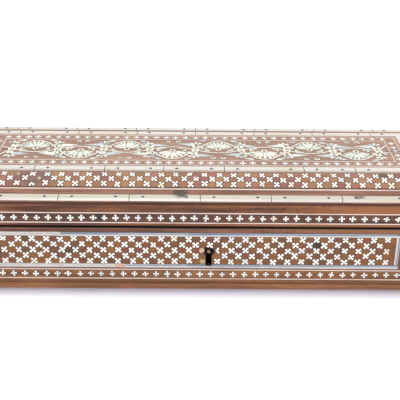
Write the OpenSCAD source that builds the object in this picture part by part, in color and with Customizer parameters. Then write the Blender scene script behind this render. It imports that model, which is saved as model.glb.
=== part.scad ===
// Long low box of rosewood inlaid with bone: a mitred case on a plinth, a hinged lid that
// steps up over a coved cushion moulding to a flat top panel, and a link-plate lock.
// Frame: +X to the right, -Y to the front, +Z up; origin on the floor under the box's middle.
// Each side is built in a side frame: x along the side, y inwards from the outer face, z up.

/* [Case] */
// Width of the case, end to end
body_w = 411; // [400:1:500]
// Depth of the case, front to back
body_d = 142; // [130:1:200]
// Height of the walls, from plinth to rim
wall_h = 47.5; // [44:0.1:70]
// Thickness of the walls and of the lid's rails
wall_t = 10; // [9.5:0.1:12]
// Thickness of the bottom board
bottom_t = 5; // [3:0.1:8]

/* [Plinth] */
// Height of the plinth strips
plinth_h = 4.5; // [3:0.1:6]
// How far the plinth stands out from the walls
plinth_out = 1.6; // [1:0.1:3]
// Width of the ledge inside the walls that carries the bottom board
plinth_ledge = 2.4; // [1.5:0.1:5]
// Chamfer on the plinth's upper edge
plinth_chamfer = 0.8; // [0.3:0.1:0.9]

/* [Lid] */
// Open joint between the case and the lid
lid_gap = 1.2; // [1.1:0.05:2]
// Height of the lid's rails
rail_h = 18.7; // [17:0.1:30]
// Thickness of the deck board on the rails
deck_t = 4.4; // [3.6:0.1:8]
// Width of the step from the lid's face to the cushion moulding
ledge_w = 17; // [14:0.1:24]
// Width of the cushion moulding's curve
cushion_run = 15; // [14.4:0.1:20]
// Height of the cushion moulding
cushion_rise = 7.2; // [5:0.1:9]
// Width of the moulding's flat seat under the top panel
cushion_seat = 6; // [4:0.1:10]
// Thickness of the top panel and of the bone around it
panel_t = 1.6; // [1.4:0.1:3]
// How far the panel's bone edge laps over the curve
panel_lap = 0.5; // [0.2:0.1:2]

/* [Bone strips] */
// Width of the strips around the top panel
top_bone_w = 6.7; // [5:0.1:9]
// Width of the strips along the lid's edge
edge_bone_w = 5.9; // [4:0.1:8]
// Thickness of the strips along the lid's edge
edge_bone_t = 2.4; // [1.5:0.1:3]
// Length of one piece of bone in the lid's edge
edge_piece = 52; // [40:1:70]
// Offset of the front joints from the middle
edge_joint_x = 3.9; // [0:0.1:10]
// Length of one piece of bone around the top panel
top_piece = 49; // [40:1:70]
// Gap between two pieces of bone
bone_gap = 0.3; // [0.1:0.05:0.6]
// Diameter of the pins in the bone strips
bone_pin_d = 2.1; // [1:0.1:2.4]
// Distance from a joint to the pins beside it
bone_pin_x = 10; // [6:0.1:12]
// Distance from a strip's outer edge to its pins
bone_pin_y = 2.4; // [1.6:0.1:2.8]
// How far a pin goes into the wood
bone_pin_sink = 1; // [0.5:0.1:1.1]

/* [Inlay] */
// Thickness of the inlaid bone, and depth of its beds
inlay_t = 0.4; // [0.3:0.05:0.6]
// Width of the bone stringing lines
string_w = 0.8; // [0.5:0.1:1.2]
// Width of the bone line along the moulding's foot
foot_line_w = 2; // [1:0.1:3]
// Distance between the two lines of a flower band
band_h = 8; // [7:0.1:9]
// Height of the base band's middle over the floor
base_band_z = 12.1; // [10.5:0.1:12.4]
// Height of the lid band's middle over the lid's lower edge
lid_band_z = 6.8; // [5.5:0.1:10]
// Pitch of the flowers in the two bands round the box
band_pitch = 8.35; // [7.5:0.05:12]
// Reach of a petal in a band flower
band_flower_r = 2.7; // [2:0.1:3]
// Reach of a petal in a field flower
field_flower_r = 3.1; // [2.2:0.1:3.2]
// Reach of a petal in a cushion flower
cushion_flower_r = 3.2; // [2.2:0.1:3.3]

/* [Fields] */
// Height of a field's lower edge over the floor
field_z = 17.6; // [17:0.1:18.4]
// Width of the reeded bone strips that frame a field
frame_w = 3.4; // [2.5:0.1:3.6]
// Length of one piece of a field's frame
frame_piece = 54.4; // [40:0.1:80]
// Offset of the lower strip's joints from the middle
frame_low_joint_x = 10.6; // [0:0.1:20]
// Offset of the upper strip's joints from the middle
frame_high_joint_x = 6.8; // [0:0.1:20]
// Rows of flowers in a field
field_rows = 5; // [3:2:5]
// Height of one row of flowers
row_pitch = 4.72; // [4.6:0.01:4.75]
// Pitch of the flowers along a row
field_pitch = 10.66; // [9.8:0.01:14]
// Offset of the flowers in the front's fields from the middle
field_shift = 0.9; // [0:0.1:1]
// Width of the small field at each end of the front and back
end_field_w = 41.4; // [30:0.1:60]
// Wood between two fields
field_gap = 6; // [4:0.1:12]
// Wood between a field and the corner
corner_w = 3.5; // [2:0.1:8]
// Pitch of the flowers along the cushion moulding
cushion_pitch = 10.8; // [10:0.1:14]
// Offset of the flowers on the front moulding from the middle
cushion_shift = 1.7; // [0:0.1:5]
// Rows of flowers on the cushion moulding
cushion_rows = 3; // [1:1:3]
// Distance along the curve from the moulding's foot to the lowest row
cushion_first_row = 3.5; // [3:0.1:3.6]
// Distance along the curve between two rows
cushion_row_pitch = 4.4; // [4.3:0.05:4.9]

/* [Top panel pattern] */
// Distance from the panel's edge to the outer line
top_line_in = 9.2; // [9.1:0.1:9.6]
// Distance from the panel's edge to the middle of its flower band
top_band_in = 13.5; // [13.3:0.1:13.8]
// Distance from the panel's edge to the inner line
top_frame_in = 18; // [17.7:0.1:19]
// Pitch of the flowers in the top panel's band
top_pitch = 8.14; // [7.5:0.01:12]
// Compartments of the scroll
scroll_count = 8; // [4:2:10]
// Half depth of the scroll's field that the heights below are drawn for
scroll_half_d = 21.1; // [15:0.1:30]
// Length of the stems past the outermost compartments
scroll_end = 9.2; // [6:0.1:12]
// Width of a scroll stem
stem_w = 0.9; // [0.6:0.1:1.2]
// Height of the outer stem's wave
outer_wave_h = 17.2; // [16.5:0.1:18]
// Height of the inner stem's wave
inner_wave_h = 5; // [3:0.1:6]
// Reach of a palmette's longest petal
palmette_r = 14; // [10:0.1:14.5]
// Petals in a palmette
palmette_petals = 7; // [5:2:9]
// Length of a long leaf
leaf_l = 14; // [10:0.1:14.5]
// Width of a long leaf
leaf_w = 3.4; // [2:0.1:4.5]
// Distance from the scroll's middle line to the long leaves
leaf_y = 12.5; // [11.5:0.1:14]
// Diameter of a bud between two long leaves
bud_d = 2.6; // [1.5:0.1:3]

/* [Lock] */
// Offset of the keyhole from the middle
key_x = 10.6; // [-40:0.1:40]
// Depth of the drill pin under the walls' rim
key_depth = 20.6; // [19:0.1:21]
// Diameter of the keyhole's round part
key_d = 6.6; // [5.5:0.1:7]
// Width of the keyhole's slot
key_slot_w = 4.4; // [4.3:0.1:5]
// Length of the slot, from the drill pin down
key_slot_l = 11.8; // [11.6:0.1:12]
// Diameter of the drill pin
drill_pin_d = 3; // [2:0.1:3.2]
// Width of the lock case
lock_w = 48; // [46:0.1:60]
// Height of the lock case
lock_h = 34; // [33:0.1:36]
// Depth of the lock, let into the front wall
lock_t = 6.4; // [6.2:0.1:6.6]
// Thickness of the lock's plates
plate_t = 0.8; // [0.6:0.1:0.9]
// Width of the cap's flange on each side of the case
cap_flange = 6; // [5:0.1:10]
// Height of the bolt
bolt_h = 4; // [3:0.1:4.2]
// Thickness of the bolt
bolt_t = 1.8; // [1.2:0.1:2]
// Depth of the bolt's middle under the rim
bolt_depth = 5.7; // [5.5:0.1:6]
// Travel of the bolt
bolt_travel = 6; // [5:0.1:6.5]
// Running clearance inside the lock
lock_play = 0.3; // [0.25:0.05:0.4]
// Diameter of the studs that guide the bolt
stud_d = 1.6; // [1.2:0.1:2]
// Thickness of the link plate's staple
staple_t = 2; // [1.5:0.1:2.5]
// Length of the link plate
link_l = 34; // [30:1:44]

/* [Hinges] */
// Distance from the middle to each hinge
hinge_x = 120; // [60:1:150]
// Length of a hinge
hinge_l = 40; // [36:1:60]
// Width of a hinge leaf on the wood
hinge_leaf_w = 8; // [7:0.1:9]
// Thickness of a leaf
leaf_t = 0.8; // [0.6:0.05:1]
// How far a leaf is let into the wood
leaf_sink = 0.5; // [0.4:0.05:0.55]
// Diameter of a knuckle
knuckle_d = 3.2; // [2.8:0.1:3.6]
// Diameter of a hinge pin
hinge_pin_d = 1.6; // [1.2:0.1:1.8]
// Radial clearance of the pins and screws in their holes
pin_fit = 0.05; // [0.02:0.01:0.08]
// Gap between two knuckles
knuckle_gap = 0.4; // [0.3:0.05:0.6]

/* [Screws] */
// Diameter of a screw's head
head_d = 3; // [2.6:0.1:3.2]
// Diameter of a screw's shank
shank_d = 1.5; // [1.2:0.1:1.8]
// Length of a screw
screw_l = 5; // [3:0.1:6]

/* [Hidden] */
$fn = 48;
wood = [0.52, 0.31, 0.2];
pale_wood = [0.6, 0.37, 0.25];
bone = [0.93, 0.89, 0.8];
reeded_bone = [0.8, 0.82, 0.82];
brass = [0.72, 0.58, 0.3];
iron = [0.36, 0.33, 0.3];
horn = [0.15, 0.12, 0.1];
FRONT = 0;
RIGHT = 1;
BACK = 2;
LEFT = 3;
cut = 1;

rim_z = plinth_h + wall_h;
lid_z = rim_z + lid_gap;
deck_z = lid_z + rail_h;
ledge_z = deck_z + deck_t;
panel_z = ledge_z + cushion_rise;
foot_line_y = ledge_w - foot_line_w;
panel_in = ledge_w + cushion_run - panel_lap;
panel_w = body_w - 2 * panel_in;
panel_d = body_d - 2 * panel_in;
core_in = ledge_w + cushion_run + cushion_seat;
// Joints of the bone strip along the panel's front, as parts of the panel's width
top_front_joints = [-0.351, -0.198, -0.069, 0.064, 0.238, 0.351];
steps_per_wave = 10;
palmette_spread = 156;
// A circular arc that is level at its crown and falls by cushion_rise over cushion_run
cushion_r = (pow(cushion_run, 2) + pow(cushion_rise, 2)) / (2 * cushion_rise);
cushion_foot_angle = asin(cushion_run / cushion_r);
key_z = rim_z - key_depth;
lock_y = wall_t - lock_t;
lock_in = lock_y + plate_t;
lock_out = wall_t - plate_t;
bolt_z = rim_z - bolt_depth;
bolt_y = (lock_in + lock_out) / 2;
// Places along the bolt, from the keyhole's middle
bolt_tip = 0.115 * lock_w;
stud_x = lock_w * [-0.23, -0.04];
talon_x = [-0.135 * lock_w, bolt_tip - bolt_travel];
spring_half = 0.19 * lock_w;
talon_h = bolt_h;
key_notch_r = 0.55 * bolt_h;
spring_t = plate_t / 2;
bolt_rest_gap = 0.25 * staple_t;
staple_x = bolt_tip + bolt_rest_gap + staple_t / 2;
staple_wall = 0.45 * staple_t;
hinge_z = rim_z + lid_gap / 2;
knuckle_l = (hinge_l - 2 * knuckle_gap) / 3;
leaf_screws_x = [-hinge_l / 3, 0, hinge_l / 3];
leaf_screw_y = 0.62 * hinge_leaf_w;
wave = (panel_w - 2 * (top_frame_in + scroll_end)) / scroll_count;
scroll_fit = (panel_d / 2 - top_frame_in - string_w / 2) / scroll_half_d;
inlay_z = panel_z + panel_t - inlay_t;

function side_len(s) = s % 2 == 0 ? body_w : body_d;
function side_out(s) = (s % 2 == 0 ? body_d : body_w) / 2;
// Fields of one side as [middle, width]; the ends of the box have one each
function fields(s) = s % 2 == 1 ? [[0, body_d - 2 * corner_w]] :
    let (w = body_w - 2 * (end_field_w + field_gap + corner_w), x = w / 2 + field_gap + end_field_w / 2)
    [[0, w], [-x, end_field_w], [x, end_field_w]];
field_h = field_rows * row_pitch + 2 * frame_w;
// Bare wood around the keyhole
key_clear = 0.78 * field_flower_r;
// Places of the joints in a strip of length l, clear of its ends
function joints(l, piece, shift) = let (n = ceil(l / piece))
    [for (i = [-n:n]) let (x = shift + i * piece) if (abs(x) < l / 2 - piece / 4) x];
// Middles of the pitches that fit in l: an odd number of them, or an even one if odd is 0
function row_places(l, pitch, odd) = let (n = 2 * floor((l / pitch - odd) / 2) + odd)
    [for (i = [0:n - 1]) (i - (n - 1) / 2) * pitch];

// ---- side frame and shared shapes ----
module on_side(s) rotate(90 * s) translate([0, -side_out(s), 0]) children();

// Bar with mitred ends: its outer face is l long and lies on y = 0
module mitred_bar(l, t, h) linear_extrude(h)
    polygon([[-l / 2, 0], [l / 2, 0], [l / 2 - t, t], [-l / 2 + t, t]]);

// Four petals with a notch between each two, as a flat shape; turn 0 makes a plus
module flower(r, turn = 0) rotate(turn)
    polygon([for (i = [0:3]) let (a = 90 * i, notch = 0.36 * r)
        each [r * [cos(a), sin(a)], notch * [cos(a + 45), sin(a + 45)]]]);

// Lays a flat shape in the bed of an upright face, its top flush with the face
module face_inlay(x, z) translate([x, inlay_t, z]) rotate([90, 0, 0]) linear_extrude(inlay_t) children();

module screw() {
    cylinder(h = leaf_t, d1 = head_d, d2 = shank_d);
    cylinder(h = screw_l, d = shank_d);
}
module screw_hole(play = pin_fit) {
    cylinder(h = leaf_t, d1 = head_d + 2 * play, d2 = shank_d + 2 * play);
    cylinder(h = screw_l + play, d = shank_d + 2 * play);
}

// ---- flower bands ----
module band_bed(s, z) translate([-side_len(s), -cut, z - band_h / 2 - string_w / 2])
    cube([2 * side_len(s), cut + inlay_t, band_h + string_w]);
module band_lines(s, z) for (e = [-1, 1])
    translate([0, 0, z + e * band_h / 2 - string_w / 2]) mitred_bar(side_len(s), inlay_t, string_w);
module band_flowers(s, z, odd) for (x = row_places(side_len(s) - band_pitch / 2, band_pitch, odd))
    face_inlay(x, z) flower(band_flower_r);

// ---- fields of a wall ----
module field_bed(s) for (f = fields(s))
    translate([f[0] - f[1] / 2, -cut, field_z]) cube([f[1], cut + inlay_t, field_h]);
module strip_run(l, shift) {
    ends = concat([-l / 2], joints(l, frame_piece, shift), [l / 2]);
    for (i = [0:len(ends) - 2]) translate([ends[i] + (i > 0 ? bone_gap / 2 : 0), 0, 0])
        cube([ends[i + 1] - ends[i] - (i > 0 ? bone_gap / 2 : 0) - (i < len(ends) - 2 ? bone_gap / 2 : 0),
            inlay_t, frame_w]);
}
module field_frame(s) difference() {
    for (f = fields(s)) translate([f[0], 0, field_z]) {
        strip_run(f[1], frame_low_joint_x);
        translate([0, 0, field_h - frame_w]) strip_run(f[1], frame_high_joint_x);
        for (e = [-1, 1]) translate([e * (f[1] - frame_w) / 2 - frame_w / 2, 0, frame_w])
            cube([frame_w, inlay_t, field_h - 2 * frame_w]);
    }
    if (s == FRONT) keyhole(-cut, 2 * cut);
}
module field_flowers(s) for (f = fields(s), r = [0:field_rows - 1])
    for (dx = row_places(f[1] - 2 * frame_w - field_shift, field_pitch, r % 2)) {
        x = f[0] + dx + (s == FRONT ? field_shift : 0);
        z = field_z + frame_w + (r + 0.5) * row_pitch;
        room = key_d / 2 + key_clear;
        clear = s != FRONT || abs(x - key_x) > room || z > key_z + room;
        if (clear) face_inlay(x, z) flower(field_flower_r, 45);
    }

// ---- case ----
module wall_blank(s) difference() {
    translate([0, 0, plinth_h]) mitred_bar(side_len(s), wall_t, wall_h);
    band_bed(s, base_band_z);
    field_bed(s);
}
module front_board() color(wood) on_side(FRONT) difference() {
    wall_blank(FRONT);
    keyhole(-cut, wall_t + 2 * cut);
    translate([key_x - lock_w / 2, lock_y, rim_z - lock_h]) cube([lock_w, lock_t + cut, lock_h + cut]);
    translate([key_x - lock_w / 2 - cap_flange, lock_out, rim_z - lock_h])
        cube([lock_w + 2 * cap_flange, plate_t + cut, lock_h + cut]);
    lock_screw_places() screw_hole();
}
module right_board() color(wood) on_side(RIGHT) wall_blank(RIGHT);
module back_board() color(wood) on_side(BACK) difference() {
    wall_blank(BACK);
    hinge_places() {
        barrel_room();
        translate([-hinge_l / 2, -cut, rim_z - leaf_sink]) cube([hinge_l, hinge_leaf_w + cut, leaf_sink + cut]);
        case_screw_places() screw_hole();
    }
}
module left_board() color(wood) on_side(LEFT) wall_blank(LEFT);
module bottom_board() color(pale_wood) translate([0, 0, plinth_h + bottom_t / 2])
    cube([body_w - 2 * wall_t, body_d - 2 * wall_t, bottom_t], center = true);

module plinth(s) color(wood) on_side(s) translate([0, -plinth_out, 0]) difference() {
    mitred_bar(side_len(s) + 2 * plinth_out, plinth_out + wall_t + plinth_ledge, plinth_h);
    translate([0, 0, plinth_h]) rotate([45, 0, 0])
        cube([2 * side_len(s), plinth_chamfer * sqrt(2), plinth_chamfer * sqrt(2)], center = true);
}
module base_flowers() color(bone) for (s = [0:3]) on_side(s) band_flowers(s, base_band_z, 0);
module base_stringing() color(bone) for (s = [0:3]) on_side(s) band_lines(s, base_band_z);

// ---- lock, in the front wall's side frame ----
// Keyhole through everything from y to y + t
module keyhole(y, t) translate([key_x, y, key_z]) {
    rotate([-90, 0, 0]) cylinder(h = t, d = key_d);
    translate([-key_slot_w / 2, 0, -key_slot_l]) cube([key_slot_w, t, key_slot_l]);
}
module lock_screw_places() for (i = [-1, 1], z = [0.25, 0.75])
    translate([key_x + i * (lock_w + cap_flange) / 2, wall_t, rim_z - z * lock_h]) rotate([90, 0, 0]) children();
module lock_case() color(brass) on_side(FRONT) difference() {
    translate([key_x - lock_w / 2, lock_y, rim_z - lock_h]) cube([lock_w, lock_t - plate_t, lock_h]);
    translate([key_x - lock_w / 2 + plate_t, lock_in, rim_z - lock_h + plate_t])
        cube([lock_w - 2 * plate_t, lock_t, lock_h - 2 * plate_t]);
    keyhole(0, wall_t);
    translate([key_x + staple_x - staple_t / 2 - 2 * lock_play, lock_in, rim_z - lock_h / 4])
        cube([staple_t + 4 * lock_play, lock_t, lock_h]);
}
module lock_cap() color(brass) on_side(FRONT) difference() {
    translate([key_x - lock_w / 2 - cap_flange, lock_out, rim_z - lock_h])
        cube([lock_w + 2 * cap_flange, plate_t, lock_h]);
    lock_screw_places() screw_hole();
}
module lock_screws() color(brass) on_side(FRONT) lock_screw_places() screw();
module drill_pin() color(iron) on_side(FRONT) translate([key_x, plate_t, key_z])
    rotate([-90, 0, 0]) cylinder(h = lock_out - plate_t, d = drill_pin_d);
module bolt_studs() color(iron) on_side(FRONT) for (x = stud_x) translate([key_x + x, lock_in, bolt_z])
    rotate([-90, 0, 0]) cylinder(h = lock_out - lock_in, d = stud_d);
// Sliding bolt at rest in its drawn-back place, with a talon under it for the key's bit
module lock_bolt() color(iron) on_side(FRONT) translate([key_x, bolt_y - bolt_t / 2, bolt_z]) difference() {
    slot_r = stud_d / 2 + pin_fit;
    tail_x = stud_x[0] - bolt_travel - slot_r - staple_wall;
    union() {
        translate([tail_x, 0, -bolt_h / 2]) cube([bolt_tip - tail_x, bolt_t, bolt_h]);
        translate([talon_x[0], 0, -bolt_h / 2 - talon_h])
            cube([talon_x[1] - talon_x[0], bolt_t, talon_h + bolt_h / 2]);
    }
    for (x = stud_x) translate([x, -cut, 0]) rotate([-90, 0, 0]) linear_extrude(bolt_t + 2 * cut) {
        for (e = [0, 1]) translate([-e * bolt_travel, 0]) circle(slot_r);
        translate([-bolt_travel, -slot_r]) square([bolt_travel, 2 * slot_r]);
    }
    translate([(talon_x[0] + talon_x[1]) / 2, -cut, -bolt_h / 2 - talon_h])
        rotate([-90, 0, 0]) cylinder(h = bolt_t + 2 * cut, r = key_notch_r);
}
// Leaf spring bowed down from the case's top to the bolt's upper edge
module bolt_spring() color(iron) on_side(FRONT) {
    sag = bolt_depth - bolt_h / 2 - plate_t - lock_play;
    r = (spring_half * spring_half + sag * sag) / (2 * sag);
    translate([key_x + (stud_x[0] + stud_x[1]) / 2, bolt_y + bolt_t / 2, rim_z - plate_t - sag + r])
        rotate([90, 0, 0]) linear_extrude(bolt_t) intersection() {
            difference() {
                circle(r, $fn = 96);
                circle(r - spring_t, $fn = 96);
            }
            translate([-spring_half - cut, -r - cut]) square([2 * (spring_half + cut), sag + cut]);
        }
}

// ---- hinges, in the back's side frame ----
module hinge_places() for (e = [-1, 1]) translate([e * hinge_x, 0, 0]) children();
module along_pin(l, d, x = 0) translate([x - l / 2, 0, hinge_z]) rotate([0, 90, 0]) cylinder(h = l, d = d);
module barrel_room() along_pin(hinge_l + 2 * knuckle_gap, knuckle_d + 2 * knuckle_gap);
module case_screw_places() for (x = leaf_screws_x) translate([x, leaf_screw_y, rim_z - leaf_sink + leaf_t])
    rotate([180, 0, 0]) children();
module lid_screw_places() for (x = leaf_screws_x) translate([x, leaf_screw_y, lid_z + leaf_sink - leaf_t])
    children();
module hinge_case_leaves() color(brass) on_side(BACK) hinge_places() difference() {
    union() {
        translate([-hinge_l / 2, 0, rim_z - leaf_sink]) cube([hinge_l, hinge_leaf_w, leaf_t]);
        for (e = [-1, 1]) along_pin(knuckle_l, knuckle_d, e * (knuckle_l + knuckle_gap));
    }
    along_pin(2 * hinge_l, hinge_pin_d + 2 * pin_fit);
    along_pin(knuckle_l + 2 * knuckle_gap, knuckle_d + 2 * knuckle_gap);
    case_screw_places() screw_hole();
}
module hinge_lid_leaves() color(brass) on_side(BACK) hinge_places() difference() {
    union() {
        translate([-hinge_l / 2, 0, lid_z + leaf_sink - leaf_t]) cube([hinge_l, hinge_leaf_w, leaf_t]);
        along_pin(knuckle_l, knuckle_d);
    }
    along_pin(2 * hinge_l, hinge_pin_d + 2 * pin_fit);
    for (e = [-1, 1]) along_pin(knuckle_l + 2 * knuckle_gap, knuckle_d + 2 * knuckle_gap,
        e * (knuckle_l + knuckle_gap));
    lid_screw_places() screw_hole();
}
module hinge_pins() color(iron) on_side(BACK) hinge_places() along_pin(hinge_l, hinge_pin_d);
module hinge_case_screws() color(brass) on_side(BACK) hinge_places() case_screw_places() screw();
module hinge_lid_screws() color(brass) on_side(BACK) hinge_places() lid_screw_places() screw();

// ---- lid ----
module rail_blank(s) difference() {
    translate([0, 0, lid_z]) mitred_bar(side_len(s), wall_t, rail_h);
    band_bed(s, lid_z + lid_band_z);
}
module lid_rail_front() color(wood) on_side(FRONT) difference() {
    rail_blank(FRONT);
    translate([key_x + staple_x - link_l / 2, lock_y, lid_z - cut]) cube([link_l, lock_t, leaf_sink + cut]);
    link_screw_places() screw_hole();
}
module lid_rail_right() color(wood) on_side(RIGHT) rail_blank(RIGHT);
module lid_rail_back() color(wood) on_side(BACK) difference() {
    rail_blank(BACK);
    hinge_places() {
        barrel_room();
        translate([-hinge_l / 2, -cut, lid_z - cut]) cube([hinge_l, hinge_leaf_w + cut, leaf_sink + cut]);
        lid_screw_places() screw_hole();
    }
}
module lid_rail_left() color(wood) on_side(LEFT) rail_blank(LEFT);
module lid_deck() color(wood) difference() {
    translate([-body_w / 2, -body_d / 2, deck_z]) cube([body_w, body_d, deck_t]);
    for (s = [0:3]) on_side(s) {
        translate([-side_len(s), -cut, ledge_z - edge_bone_t])
            cube([2 * side_len(s), edge_bone_w + cut, edge_bone_t + cut]);
        edge_pin_places(s) cylinder(h = edge_bone_t + bone_pin_sink, d = bone_pin_d + 2 * pin_fit);
        translate([0, foot_line_y, ledge_z - inlay_t])
            mitred_bar(side_len(s) - 2 * foot_line_y, foot_line_w, inlay_t + cut);
    }
}

// Bone strip with joints at the places; w wide, t thick, its outer face l long
module bone_run(l, w, t, places) difference() {
    mitred_bar(l, w, t);
    for (x = places) translate([x - bone_gap / 2, -cut, -cut]) cube([bone_gap, w + 2 * cut, t + 2 * cut]);
}
// Pins on both sides of each joint, pointing down from height z
module pin_places(l, w, places, z) for (x = places, e = [-1, 1])
    if (abs(x + e * bone_pin_x) < l / 2 - w - bone_pin_d)
        translate([x + e * bone_pin_x, bone_pin_y, z]) rotate([180, 0, 0]) children();
function edge_joints(s) = joints(side_len(s), edge_piece, s == FRONT ? edge_joint_x : 0);
function top_len(s) = side_len(s) - 2 * panel_in;
function top_joints(s) = s == FRONT ? panel_w * top_front_joints : joints(top_len(s), top_piece, 0);
module edge_pin_places(s) pin_places(side_len(s), edge_bone_w, edge_joints(s), ledge_z) children();
module top_pin_places(s) translate([0, panel_in, 0])
    pin_places(top_len(s), top_bone_w, top_joints(s), panel_z + panel_t) children();
module lid_edge_bone() color(bone) for (s = [0:3]) on_side(s) difference() {
    translate([0, 0, ledge_z - edge_bone_t]) bone_run(side_len(s), edge_bone_w, edge_bone_t, edge_joints(s));
    edge_pin_places(s) translate([0, 0, -cut]) cylinder(h = edge_bone_t + 2 * cut, d = bone_pin_d + 2 * pin_fit);
}
module lid_edge_pins() color(horn) for (s = [0:3]) on_side(s) edge_pin_places(s)
    cylinder(h = edge_bone_t + bone_pin_sink, d = bone_pin_d);
module lid_flowers() color(bone) for (s = [0:3]) on_side(s) band_flowers(s, lid_z + lid_band_z, 1);
module lid_stringing() color(bone) for (s = [0:3]) on_side(s) band_lines(s, lid_z + lid_band_z);
module ledge_stringing() color(bone) translate([0, 0, ledge_z - inlay_t]) linear_extrude(inlay_t) difference() {
    square([body_w - 2 * foot_line_y, body_d - 2 * foot_line_y], center = true);
    square([body_w - 2 * ledge_w, body_d - 2 * ledge_w], center = true);
}

// ---- cushion moulding ----
module cushion_blank(s) translate([0, ledge_w, ledge_z]) intersection() {
    l = side_len(s) - 2 * ledge_w;
    translate([-l / 2, 0, 0]) rotate([90, 0, 90]) linear_extrude(l) union() {
        intersection() {
            translate([cushion_run, cushion_rise - cushion_r]) circle(cushion_r, $fn = 128);
            square([cushion_run, cushion_rise]);
        }
        translate([cushion_run, 0]) square([cushion_seat, cushion_rise]);
    }
    mitred_bar(l, cushion_run + cushion_seat, cushion_rise);
}
module cushion(s) color(wood) on_side(s) difference() {
    cushion_blank(s);
    top_pin_places(s) cylinder(h = panel_t + bone_pin_sink, d = bone_pin_d + 2 * pin_fit);
}
// Rows of flowers lying on the curve, row k counted from its foot
module cushion_flowers() color(bone) for (s = [0:3], k = [0:cushion_rows - 1]) on_side(s) {
    tilt = cushion_foot_angle - (cushion_first_row + k * cushion_row_pitch) / cushion_r * 180 / PI;
    in = ledge_w + cushion_run - cushion_r * sin(tilt);
    reach = side_len(s) / 2 - in - cushion_flower_r;
    n = ceil(reach / cushion_pitch);
    for (i = [-n:n]) {
        x = (i + ((k + 1) % 2) / 2) * cushion_pitch + (s == FRONT ? cushion_shift : 0);
        if (abs(x) < reach) translate([x, in, panel_z - cushion_r * (1 - cos(tilt))])
            rotate([tilt, 0, 0]) linear_extrude(inlay_t) flower(cushion_flower_r, 45);
    }
}
module top_core() color(pale_wood) translate([0, 0, ledge_z + cushion_rise / 2])
    cube([body_w - 2 * core_in, body_d - 2 * core_in, cushion_rise], center = true);

// ---- top panel and its pattern ----
module top_panel() color(wood) difference() {
    translate([0, 0, panel_z + panel_t / 2])
        cube([panel_w - 2 * top_bone_w, panel_d - 2 * top_bone_w, panel_t], center = true);
    translate([-panel_w / 2 + top_line_in - string_w / 2, -panel_d / 2 + top_line_in - string_w / 2, inlay_z])
        cube([panel_w - 2 * top_line_in + string_w, panel_d - 2 * top_line_in + string_w, inlay_t + cut]);
}
module top_bone() color(bone) for (s = [0:3]) on_side(s) difference() {
    translate([0, panel_in, panel_z]) bone_run(top_len(s), top_bone_w, panel_t, top_joints(s));
    top_pin_places(s) translate([0, 0, -cut]) cylinder(h = panel_t + 2 * cut, d = bone_pin_d + 2 * pin_fit);
}
module top_bone_pins() color(horn) for (s = [0:3]) on_side(s) top_pin_places(s)
    cylinder(h = panel_t + bone_pin_sink, d = bone_pin_d);
module top_flowers() color(bone) for (s = [0:3]) on_side(s)
    for (x = row_places(top_len(s) - 2 * top_band_in + (s % 2 == 0 ? 1 : -1) * top_pitch, top_pitch, sign(s)))
        translate([x, panel_in + top_band_in, inlay_z]) linear_extrude(inlay_t) flower(band_flower_r);
module top_stringing() color(bone) for (s = [0:3], d = [top_line_in, top_frame_in]) on_side(s)
    translate([0, panel_in + d - string_w / 2, inlay_z])
        mitred_bar(top_len(s) - 2 * d + string_w, string_w, inlay_t);
// Runs its children in each compartment's own frame, the palmette's side up
module compartments() for (i = [0:scroll_count - 1])
    translate([(i + 0.5 - scroll_count / 2) * wave, 0, inlay_z])
        scale([1, (i % 2 == 0 ? 1 : -1) * scroll_fit, 1]) linear_extrude(inlay_t) children();
// Point on a stem's wave of height h, and the stem's half width across it there
function wave_at(h, x) = [x, h * scroll_fit * sin(180 * x / wave)];
function wave_side(h, x) = let (slope = h * scroll_fit * PI / wave * cos(180 * x / wave))
    stem_w / 2 / sqrt(1 + slope * slope) * [-slope, 1];
// The outer stem bends round each palmette; the inner one crosses it between the compartments
module scroll_stems() color(bone) translate([0, 0, inlay_z]) linear_extrude(inlay_t)
    for (h = [outer_wave_h, -inner_wave_h]) {
        reach = panel_w / 2 - top_frame_in - stem_w;
        steps = steps_per_wave * scroll_count;
        places = [for (i = [0:steps]) reach * (2 * i / steps - 1)];
        polygon(concat([for (x = places) wave_at(h, x) + wave_side(h, x)],
            [for (i = [len(places) - 1:-1:0]) wave_at(h, places[i]) - wave_side(h, places[i])]));
    }
// Fan of petals between the two stems
module scroll_palmettes() color(bone) compartments() for (k = [0:palmette_petals - 1]) {
    spread = palmette_spread / palmette_petals;
    a = (k - (palmette_petals - 1) / 2) * spread;
    r = palmette_r * (1 - 0.22 * pow(sin(a), 2));
    w = 0.82 * r * sin(spread / 2);
    rotate(90 + a)
        polygon([[r * 0.3, 0], [r * 0.78, -w], [r * 0.95, -w * 0.7], [r, 0], [r * 0.95, w * 0.7], [r * 0.78, w]]);
}
// Two long leaves on the far side of the inner stem, and a bud between them
module scroll_leaves() color(bone) compartments() for (e = [-1, 1]) scale([e, 1])
    translate([bud_d + leaf_l / 2, -leaf_y]) rotate(12)
        polygon([[-leaf_l / 2, 0], [-leaf_l / 6, -leaf_w / 2], [leaf_l / 6, -leaf_w / 2.4], [leaf_l / 2, 0],
            [leaf_l / 6, leaf_w / 3], [-leaf_l / 6, leaf_w / 2]]);
module scroll_buds() color(bone) compartments() translate([0, -leaf_y - bud_d / 2]) circle(d = bud_d, $fn = 10);

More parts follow.
